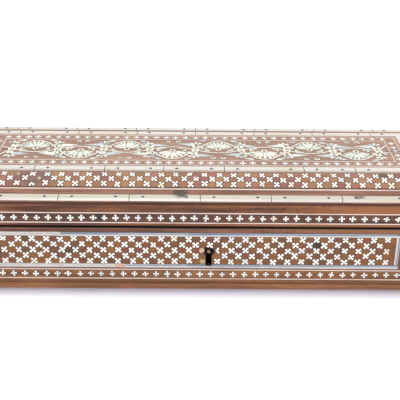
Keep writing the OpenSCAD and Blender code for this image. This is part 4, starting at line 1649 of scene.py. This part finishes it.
@dataclass(frozen=True)
class PinnedStrips:
    """Pin heads and dark joints of a run of bone strips."""

    name: str
    strips: str
    pins: str
    head_r: float = 1.45
    head_h: float = 0.16
    # Radius of a head's flat top against its foot
    dome: float = 0.72
    proud: float = 0.025
    # A joint is narrower than a millimetre, and its dark filler reaches into both ends
    widest: float = 1.0
    overlap: float = 0.1
    thinnest: float = 0.4
    # How far two lengths of the same strip may be out of line
    level: float = 0.2

    def joint(self, first: Corners, then: Corners, axis: int) -> Corners | None:
        """Finds the gap from the end of one length to the start of another.

        Args:
            first: Lowest and highest corner of the first length.
            then: Lowest and highest corner of the other.
            axis: 0 for strips that run along x, 1 for those along y.

        Returns:
            Lowest and highest corner of the joint, or None where there is none.
        """
        (low, high), (next_low, next_high), other = first, then, 1 - axis
        slips = abs(next_low[other] - low[other]), abs(next_high[other] - high[other])
        if not (-0.01 < next_low[axis] - high[axis] < self.widest and min(slips) < self.level):
            return None
        start = Vector(max(a, b) for a, b in zip(low, next_low))
        end = Vector(min(a, b) for a, b in zip(high, next_high))
        start[axis], end[axis] = high[axis] - self.overlap, next_low[axis] + self.overlap
        return start, end

    def lay_joint(self, sheet: Sheet, start: Vector, end: Vector) -> None:
        """Lays the dark filler of one joint, a little proud of the bone all round.

        Args:
            sheet: The sheet for the filler.
            start: The joint's lowest corner.
            end: Its highest corner.
        """
        proud = Vector((0, 0, self.proud))
        size = end - start + proud
        size.x, size.y = max(size.x, self.thinnest), max(size.y, self.thinnest)
        size[1 if size.x < size.y else 0] += 2 * self.proud
        place = Matrix.Translation((start + end + proud) / 2) @ Matrix.Diagonal((*size, 1.0))
        bmesh.ops.create_cube(sheet.bm, size=1.0, matrix=place)

    def build(self, workshop: Workshop, nodes: dict[str, bpy.types.Object]) -> None:
        """Makes the heads and the joints.

        Args:
            workshop: The workshop that makes the pieces.
            nodes: The CAD nodes' objects by name.
        """
        heads, joints = Sheet(), Sheet()
        for low, high in solids_of(nodes[self.pins]):
            bmesh.ops.create_cone(
                heads.bm,
                cap_ends=True,
                segments=14,
                radius1=self.head_r,
                radius2=self.head_r * self.dome,
                depth=self.head_h,
                matrix=Matrix.Translation(((low.x + high.x) / 2, (low.y + high.y) / 2, high.z)),
            )
        for first, then in itertools.product(solids_of(nodes[self.strips]), repeat=2):
            for axis in (0, 1):
                joint = self.joint(first, then, axis)
                if joint:
                    self.lay_joint(joints, *joint)
        make = workshop.piece
        make(f"{self.name}_pin_heads", heads, Body.LID, "dark_horn", Slot.HORN)
        make(f"{self.name}_joints", joints, Body.LID, "dark_mastic", Slot.HORN)


# ---------------------------------------------------------------- top panel


@dataclass(frozen=True)
class TopBand:
    """The row of flowers round the top panel."""

    pitch: float = 8.14
    inset: float = 13.5
    size: float = 2.7
    fat: float = 1.0
    seed: int = 90
    fill: float = 0.4
    # Heights of the fill and of the bone over the bed
    fill_top: float = -0.05
    bone_top: float = 0.01

    def make_side(self, side: Side, case: CaseSizes) -> list[Sheet]:
        """Lays one side's fill and flowers.

        Args:
            side: The side of the box.
            case: Sizes of the case and the lid.

        Returns:
            The sheets of the fill and the bone.
        """
        parts = fill, bone = [Sheet() for _ in range(2)]
        flowers = Flowers(self.size, self.fat, 0, Hand(self.seed + side.value))
        inset = case.panel_in + self.inset
        length = case.length(side) - 2 * inset + (self.pitch if side.wide else -self.pitch)
        for x in spots(length, self.pitch, min(side.value, 1)):
            flowers.plant(x, 0.0)
        flowers.lay(fill, 0.0, case.inlay + self.fill_top, self.fill)
        flowers.lay(bone, 0.0, case.inlay + self.bone_top)
        place = Matrix.Translation((0, inset, case.panel_z - case.inlay))
        for part in parts:
            part.set_in(case.frame(side) @ place)
        return parts

    def build(self, workshop: Workshop, case: CaseSizes) -> None:
        """Makes the row's fill and flowers, each in one round all four sides.

        Args:
            workshop: The workshop that makes the pieces.
            case: Sizes of the case and the lid.
        """
        fill, bone = all_round(2, lambda side: self.make_side(side, case))
        make = workshop.piece
        make("top_band_fill", fill, Body.LID, "mastic_top_sheen", Slot.HORN)
        make("top_band_bone", bone, Body.LID, "bone_flowers", Slot.BONE, ["top_flowers"])


@dataclass
class Carved:
    """One shape of the scroll: its outline, place and tint."""

    outline: list[Point]
    place: Matrix
    tint: float

    def grown(self, by: float) -> list[Point]:
        """The outline, set out from its middle all round.

        Args:
            by: How far it is set out.

        Returns:
            The wider outline.
        """
        count = len(self.outline)
        middle = Vector((sum(x for x, _ in self.outline), sum(y for _, y in self.outline))) / count
        result = []
        for x, y in self.outline:
            out = Vector((x, y)) - middle
            out += out.normalized() * by if out.length > 1e-6 else Vector((0, 0))
            result.append((middle.x + out.x, middle.y + out.y))
        return result


class Scroll:
    """The braid of two stems on the top panel, with palmettes, leaves and curls."""

    SEED = 11
    # Length of a compartment between two crossings, and how many there are
    WAVE, COUNT = 36.7, 8
    # Half the stems' length, their widest swing, their lift over the board and their width
    REACH = 155.0
    SWINGS = ((18.2, 0.02), (-6.0, 0.035))
    STEM = 1.2
    STEM_TINT = 0.1
    # Lift over the board of the eyes and the curls, which cross the stems
    EYE_LIFT, CURL_LIFT = 0.05, 0.065
    # Half the length and depth of the ground, and how deep it lies under the board's face
    HALF = (164.4, 29.9)
    GROUND = 0.1
    # Width and depth of the dark edge round the bone
    EDGE, EDGE_DROP, RIBBON_DROP = 0.5, 0.03, 0.02
    # Depth of the flat shapes under the board's face, and how much their heights differ
    SUNK, SPREAD, GOLDEN = 0.03, 0.028, 0.618
    # A palmette: its foot, length, fan in degrees, root, and how full its petals are
    FOOT, PALM, FAN, ROOT, FULL = 1.4, 15.8, 132, 0.27, 0.8
    # Where along a petal it is widest, and how much shorter the outermost petals are
    WIDEST, SHORTER = 0.74, 0.22
    PALM_PETALS = (9, 9, 11)
    PALM_TINTS = (0.1, 0.4, 0.5, 0.55, 0.6)
    # How far a palmette's petals differ in length, in lean and in tint
    PALM_LENGTHS, PALM_LEAN, PALM_SHADE = (0.94, 1.03), 1.2, 0.06
    PALM_EYE, PALM_EYE_UP = (2.0, 2.6), 0.4
    EYE_POINTS, EYE_TINTS = 16, (0.0, 0.4)
    # The eye and the petals at a crossing, and the buds above and below it
    CROSS_EYE = (2.4, 4.6)
    CROSS_TILT, CROSS_LEAN, BUD_SLIP = 0.2, 5, 0.8
    CROSS_PETALS, CROSS_PETAL = (75, 105, 255, 285), (9.0, 10.5, 2.7, 0.55)
    BUD_PETALS, BUD_PETAL, BUD_TINTS = (35, 90, 145), (5.4, 2.4, 0.2), (0.1, 0.5, 0.8)
    BUD_PLACE = (10.5, 12.0)
    # Pieces of half a compartment whose palmette points up, in millimetres from its middle:
    # shape, place, turn in degrees, length and width. The other half mirrors them.
    LEAVES = (
        ("leaf", 17.8, -9.0, 190.0, 15.5, 5.6),
        ("petal", 11.6, -5.4, 160.0, 6.0, 3.2),
        ("leaf", 12.6, 3.6, 62.0, 9.5, 3.6),
        ("leaf", 9.4, 18.6, -8.0, 8.2, 3.0),
    )
    LEAF_TINTS = (0.1, 0.4, 0.6, 0.7, 0.78, 0.82)
    # Middle, turn and size of the curls of half a compartment
    CURLS = (
        (9.6, 0.4, 200.0, 2.2),
        (4.0, -16.4, 120.0, 1.9),
    )
    # How far leaves, petals and curls slip, and how many degrees they lean
    SLIP, LEAF_LEAN, CURL_LEAN = 0.5, 8, 25
    # Their lengths, widths and sizes against the plan's
    LEAF_LENGTHS, LEAF_WIDTHS, CURL_SIZES = (0.88, 1.1), (0.85, 1.1), (0.85, 1.15)
    CURL_TINTS = (0.0, 0.6)
    # A curl's points, the degrees from one to the next, how far it winds in, and its dot's radius
    CURL_POINTS, CURL_STEP, CURL_IN, CURL_DOT = 11, 29, 0.3, 0.25

    def __init__(self, case: CaseSizes) -> None:
        """Starts the scroll.

        Args:
            case: Sizes of the case and the lid.
        """
        self.case = case
        self.hand = Hand(self.SEED)
        self.bone = Sheet()
        self.fill = Sheet()
        self.shapes: list[Carved] = []

    @staticmethod
    def petal(length: float, width: float, root: float = 0.0) -> list[Point]:
        """Outline of a petal along x: narrow at its root, round at its end.

        Args:
            length: The petal's length.
            width: Its greatest width.
            root: Share of the length that is left off at the root.

        Returns:
            The outline's corners, anticlockwise.
        """
        side = [(root, 0.16), (0.45, 0.36), (Scroll.WIDEST, 0.5), (0.9, 0.4), (0.99, 0.16)]
        low = [(u * length, -v * width) for u, v in side]
        return low + [(u, -v) for u, v in reversed(low)]

    @staticmethod
    def leaf(length: float, width: float) -> list[Point]:
        """Outline of a long leaf along x: full near its root, drawn out to a bent tip.

        Args:
            length: The leaf's length.
            width: Its greatest width.

        Returns:
            The outline's corners, anticlockwise.
        """
        side = [(0.0, 0.06), (0.1, 0.34), (0.28, 0.5), (0.48, 0.42), (0.72, 0.2), (1.0, 0.03)]
        bow = 0.14 * length
        low = [(u * length, -v * width - bow * u * u) for u, v in side]
        high = [(u * length, v * width - bow * u * u) for u, v in side]
        return low + high[::-1]

    def put(self, outline: list[Point], place: Matrix, tint: float | None = None) -> None:
        """Keeps one shape for the bone sheet and for the fill under it."""
        self.shapes.append(Carved(outline, place, self.hand.tint() if tint is None else tint))

    def ribbon(
        self, line: Sequence[Point], widths: Sequence[float], tint: float, lift: float
    ) -> None:
        """Lays a ribbon of bone over its fill, a hair above the flat shapes.

        Args:
            line: The ribbon's middle line.
            widths: Its width at each point.
            tint: Its tint.
            lift: How far its top stands over the board.
        """
        self.bone.lay_ribbon(line, widths, tint)
        self.bone.raise_flat(0.0, self.case.inlay + lift)
        self.fill.lay_ribbon(line, [width + 2 * self.EDGE for width in widths])
        self.fill.raise_flat(0.0, self.case.inlay + lift - self.RIBBON_DROP)

    def stems(self) -> None:
        """Lays the two stems."""
        steps = 20 * self.COUNT
        places = [self.REACH * (2 * i / steps - 1) for i in range(steps + 1)]
        for swing, lift in self.SWINGS:
            line = [(x, swing * math.sin(math.pi * x / self.WAVE)) for x in places]
            self.ribbon(line, [self.STEM] * len(line), self.STEM_TINT, lift)

    def curl(self, place: Matrix, size: float, tint: float) -> None:
        """Lays a comma-shaped curl, thick in its middle, round a small dot.

        Args:
            place: Where the curl goes and how it is turned.
            size: The shape's size.
            tint: The shape's tint.
        """
        line, widths = [], []
        for i in range(self.CURL_POINTS):
            angle, share = math.radians(self.CURL_STEP * i), i / (self.CURL_POINTS - 1)
            out = size * (1 - self.CURL_IN * share)
            line.append(self.spot(place, out * math.cos(angle), out * math.sin(angle)))
            widths.append(size * (0.12 + 0.5 * math.sin(math.pi * min(1.0, 0.12 + share * 0.85))))
        self.ribbon(line, widths, tint, self.CURL_LIFT)
        self.put(ring(0, 0, size * self.CURL_DOT, 8), place, tint)

    def eye(self, place: Matrix, wide: float, high: float) -> None:
        """Lays an oval ring of bone round a dark middle.

        Args:
            place: Where the eye goes and how it is turned.
            wide: Half its width.
            high: Half its height.
        """
        angles = [math.radians(360 / self.EYE_POINTS * i) for i in range(self.EYE_POINTS + 1)]
        line = [self.spot(place, wide * math.cos(a), high * math.sin(a)) for a in angles]
        tint = self.hand.random.uniform(*self.EYE_TINTS)
        self.ribbon(line, [self.STEM] * len(line), tint, self.EYE_LIFT)

    @staticmethod
    def spot(place: Matrix, x: float, y: float) -> Point:
        """Where a point of a turned shape lies on the sheet."""
        point = place @ Vector((x, y, 0))
        return point.x, point.y

    def slipped(self, base: Matrix, x: float, y: float, turn: float, lean: float) -> Matrix:
        """Place of a leaf or curl: a little off the plan, and leaning from its turn.

        Args:
            base: Place of the half compartment.
            x: Where the piece should lie across the compartment.
            y: Where it should lie up from its middle.
            turn: Its turn in degrees.
            lean: Spread of how far it leans, in degrees.

        Returns:
            The piece's place.
        """
        gauss = self.hand.random.gauss
        move = Matrix.Translation((x + gauss(0, self.SLIP), y + gauss(0, self.SLIP), 0))
        return base @ move @ turn_by(turn + gauss(0, lean))

    def palmette(self, base: Matrix) -> None:
        """Lays a palmette's fan of petals round an eye.

        Args:
            base: Place of the palmette's foot.
        """
        chance = self.hand.random
        tint, petals = chance.choice(self.PALM_TINTS), chance.choice(self.PALM_PETALS)
        half_step = math.radians(self.FAN / (petals - 1) / 2)
        for k in range(petals):
            share = 2 * k / (petals - 1) - 1
            length = self.PALM * (1 - self.SHORTER * share * share)
            length *= chance.uniform(*self.PALM_LENGTHS)
            width = 2 * self.WIDEST * length * math.tan(half_step) * self.FULL
            turn = turn_by(90 - self.FAN / 2 * share + chance.gauss(0, self.PALM_LEAN))
            shade = min(1.0, max(0.0, tint + chance.gauss(0, self.PALM_SHADE)))
            self.put(self.petal(length, width, self.ROOT), base @ turn, shade)
        self.eye(base @ Matrix.Translation((0, self.PALM_EYE_UP, 0)), *self.PALM_EYE)

    def leaves(self, base: Matrix) -> None:
        """Lays the leaves, petals and curls round a palmette.

        Args:
            base: Place of the compartment's middle, turned so that its palmette points up.
        """
        chance = self.hand.random
        for way in (-1, 1):
            mirror = base @ Matrix.Diagonal((way, 1, 1, 1))
            for kind, x, y, turn, length, width in self.LEAVES:
                place = self.slipped(mirror, x, y, turn, self.LEAF_LEAN)
                length *= chance.uniform(*self.LEAF_LENGTHS)
                width *= chance.uniform(*self.LEAF_WIDTHS)
                make = self.leaf if kind == "leaf" else self.petal
                self.put(make(length, width), place, chance.choice(self.LEAF_TINTS))
            for x, y, turn, size in self.CURLS:
                place = self.slipped(mirror, x, y, turn, self.CURL_LEAN)
                size *= chance.uniform(*self.CURL_SIZES)
                self.curl(place, size, chance.uniform(*self.CURL_TINTS))

    def crossing(self, x: float) -> None:
        """Lays the eye and the petals where the stems cross.

        Args:
            x: Where the crossing lies along the panel.
        """
        chance = self.hand.random
        tilt = Matrix.Rotation(chance.uniform(-self.CROSS_TILT, self.CROSS_TILT), 4, "Z")
        base = Matrix.Translation((x, 0, 0)) @ tilt
        self.eye(base, *self.CROSS_EYE)
        shortest, longest, width, root = self.CROSS_PETAL
        for angle in self.CROSS_PETALS:
            turn = turn_by(angle + chance.gauss(0, self.CROSS_LEAN))
            self.put(self.petal(chance.uniform(shortest, longest), width, root), base @ turn)
        for way in (-1, 1):
            aside = x + chance.gauss(0, self.BUD_SLIP)
            bud = Matrix.Translation((aside, way * chance.uniform(*self.BUD_PLACE), 0))
            for angle in self.BUD_PETALS:
                tint = chance.choice(self.BUD_TINTS)
                self.put(self.petal(*self.BUD_PETAL), bud @ turn_by(way * angle), tint)

    def build(self, workshop: Workshop) -> None:
        """Makes the scroll's ground, fill and bone.

        Args:
            workshop: The workshop that makes the pieces.
        """
        ground, (wide, deep) = Sheet(), self.HALF
        ground.lay(rectangle(-wide, wide, -deep, deep))
        ground.raise_flat(0.0, self.case.inlay - self.GROUND)
        self.stems()
        for i in range(self.COUNT):
            x, up = (i - (self.COUNT - 1) / 2) * self.WAVE, 1 if i % 2 == 0 else -1
            middle = Matrix.Translation((x, 0, 0)) @ Matrix.Diagonal((1, up, 1, 1))
            self.palmette(middle @ Matrix.Translation((0, self.FOOT, 0)))
            self.leaves(middle)
        for i in range(self.COUNT + 1):
            self.crossing((i - self.COUNT / 2) * self.WAVE)
        for i, shape in enumerate(self.shapes):
            # Each a hair off its neighbours' height, so that no two faces coincide
            height = self.case.inlay - self.SUNK + self.SPREAD * (i * self.GOLDEN % 1)
            self.fill.lay(shape.grown(self.EDGE), shape.place)
            self.fill.raise_flat(0.0, height - self.EDGE_DROP)
            self.bone.lay(shape.outline, shape.place, shape.tint)
            self.bone.raise_flat(0.0, height)
        for sheet in (ground, self.fill, self.bone):
            sheet.set_in(Matrix.Translation((0, 0, self.case.panel_z - self.case.inlay)))
        make = workshop.piece
        make("top_ground", ground, Body.LID, "rosewood_top_sheen", Slot.ROSEWOOD)
        make("scroll_fill", self.fill, Body.LID, "mastic_top_sheen", Slot.HORN)
        replaced = ["scroll_stems", "scroll_palmettes", "scroll_leaves", "scroll_buds"]
        make("scroll_bone", self.bone, Body.LID, "bone_scroll", Slot.BONE, replaced)


# ---------------------------------------------------------------- finishes of the CAD nodes

NODE_FINISHES = {
    "rosewood_case_x": ["front_board", "back_board"],
    "rosewood_case_y": ["left_board", "right_board"],
    "rosewood_plinth_x": ["plinth_front", "plinth_back"],
    "rosewood_plinth_y": ["plinth_left", "plinth_right"],
    "rosewood_lid_x": ["lid_rail_front", "lid_rail_back"],
    "rosewood_lid_y": ["lid_rail_left", "lid_rail_right"],
    "rosewood_deck_sheen": ["lid_deck"],
    "rosewood_top_sheen": ["cushion_front", "cushion_back", "cushion_left", "cushion_right", "top_panel"],
    "deodar_inside": ["bottom_board", "top_core"],
    "bone_strips": ["lid_edge_bone", "top_bone"],
    "bone_lines": ["base_stringing", "lid_stringing", "ledge_stringing", "top_stringing"],
    "dark_horn": ["lid_edge_pins", "top_bone_pins"],
    "brown_brass": [
        "hinge_case_leaves",
        "hinge_lid_leaves",
        "hinge_pins",
        "hinge_case_screws",
        "hinge_lid_screws",
        "lock_bolt",
        "lock_screws",
        "link_plate",
        "link_screws",
        "bolt_studs",
    ],
    "lock_shade_brass": ["lock_cap"],
    "black_iron": ["lock_case"],
    "browned_iron": ["drill_pin", "bolt_spring"],
}


# ---------------------------------------------------------------- studio


@dataclass(frozen=True)
class Studio:
    """A pale floor, soft light from above and from the front, and the camera."""

    focal_px: float = 823.7
    width_px: int = 400
    pitch: float = 26.05
    yaw: float = 0.266
    roll: float = 0.498
    eye: Triple = (1.18, -610.9, 339.0)
    sensor: float = 36.0
    floor_size: float = 1.5
    white: str = "#FBFCFF"
    # Colour and strength of the light that the surroundings scatter on the box
    sky: str = "#A6B3FF"
    scattered: float = 0.36
    # What the lamps face
    target: Triple = (0.0, 0.0, 0.05)

    def floor(self) -> bpy.types.Object:
        """Lays the floor and gives it a plain white paint.

        Returns:
            The floor's object.
        """
        bm = bmesh.new()
        bmesh.ops.create_grid(bm, x_segments=1, y_segments=1, size=self.floor_size)
        mesh = bpy.data.meshes.new("floor")
        bm.to_mesh(mesh)
        bm.free()
        material, _, shader = new_tree("white_floor")
        shader.inputs["Base Color"].default_value = linear(self.white)
        shader.inputs["Roughness"].default_value = 0.9
        shader.inputs["Specular IOR Level"].default_value = 0.0
        mesh.materials.append(material)
        floor = bpy.data.objects.new("floor", mesh)
        bpy.context.scene.collection.objects.link(floor)
        return floor

    def surroundings(self) -> None:
        """Makes the white surroundings, dimmer for scattered light than for the camera."""
        world = bpy.data.worlds.new("white_room")
        bpy.context.scene.world = world
        world.use_nodes = True
        tree = world.node_tree
        tree.nodes.clear()
        path = add_node(tree, "LightPath").outputs
        seen = path["Is Camera Ray"]
        for kind in ("Is Glossy Ray", "Is Transmission Ray"):
            links = {0: seen, 1: path[kind]}
            seen = add_node(tree, "Math", {"operation": "MAXIMUM"}, links).outputs[0]
        settings = {"To Min": self.scattered, "To Max": 1.0}
        strength = add_node(tree, "MapRange", settings, {"Value": seen}).outputs["Result"]
        settings = {"data_type": "RGBA", 6: linear(self.sky), 7: linear(self.white)}
        colour = add_node(tree, "Mix", settings, {0: seen}).outputs[2]
        light = add_node(tree, "Background", links={"Color": colour, "Strength": strength})
        add_node(tree, "OutputWorld", links={"Surface": light.outputs[0]})

    def lamp(
        self, name: str, place: Vector, size: float, watts: float, colour: str
    ) -> bpy.types.Object:
        """Hangs a soft square lamp that faces the box.

        Args:
            name: The lamp's name.
            place: Its middle, in metres.
            size: Length of its side, in metres.
            watts: Its power.
            colour: Its light's colour.

        Returns:
            The lamp's object.
        """
        light = bpy.data.lights.new(name, "AREA")
        light.shape, light.size, light.energy = "SQUARE", size, watts
        light.color = linear(colour)[:3]
        lamp = bpy.data.objects.new(name, light)
        lamp.location = place
        aim = Vector(self.target) - place
        lamp.rotation_euler = aim.to_track_quat("-Z", "Y").to_euler()
        lamp.visible_glossy = False
        bpy.context.scene.collection.objects.link(lamp)
        return lamp

    def camera(self) -> None:
        """Sets the camera."""
        pitch, yaw, roll = (math.radians(v) for v in (self.pitch, self.yaw, self.roll))
        level = Vector((math.sin(yaw), math.cos(yaw), 0.0))
        look = level * math.cos(pitch) - Vector((0, 0, math.sin(pitch)))
        right = Vector((math.cos(yaw), -math.sin(yaw), 0.0))
        up = right.cross(look)
        across = math.cos(roll) * right + math.sin(roll) * up
        upwards = math.cos(roll) * up - math.sin(roll) * right
        turn = Matrix((across, upwards, -look)).transposed().to_4x4()
        data = bpy.data.cameras.new("camera")
        data.sensor_width, data.sensor_fit = self.sensor, "HORIZONTAL"
        data.lens = data.sensor_width * self.focal_px / self.width_px
        camera = bpy.data.objects.new("camera", data)
        camera.matrix_world = Matrix.Translation(Vector(self.eye) * MM) @ turn
        bpy.context.scene.collection.objects.link(camera)
        bpy.context.scene.camera = camera

    def build(self) -> None:
        """Sets the whole studio."""
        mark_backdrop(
            self.floor(),
            self.lamp("overhead", Vector((0.0, 0.42, 3.0)), 0.8, 104.0, "#FFFDF6"),
            self.lamp("front_fill", Vector((0.0, -2.0, 0.32)), 1.2, 38.0, "#FFF4E6"),
        )
        self.surroundings()
        self.camera()
        bpy.context.scene.view_settings.view_transform = "Standard"


def corners() -> list[list[float]]:
    """Returns the lowest and highest corner of what shows now, in metres."""
    return [list(corner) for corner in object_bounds()]


def main() -> None:
    """Builds the whole scene."""
    logging.basicConfig(level=logging.INFO, format="%(name)s: %(message)s")
    bpy.ops.wm.read_factory_settings(use_empty=True)
    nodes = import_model()["nodes"]
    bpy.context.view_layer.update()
    case, workshop = CaseSizes.measured(), Workshop()
    for finish, names in NODE_FINISHES.items():
        for name in names:
            workshop.finish_node(nodes[name], finish)
    for side in Side:
        FieldInlay(side, case).build(workshop)
    Band("base", Body.BOX, 0).build(workshop, case, case.base_band_z)
    Band("lid", Body.LID, 1).build(workshop, case, case.lid_band_z)
    Cushion().build(workshop, case)
    PinnedStrips("edge", "lid_edge_bone", "lid_edge_pins").build(workshop, nodes)
    PinnedStrips("top", "top_bone", "top_bone_pins").build(workshop, nodes)
    TopBand().build(workshop, case)
    Scroll(case).build(workshop)
    Studio().build()


if __name__ == "__main__":
    main()
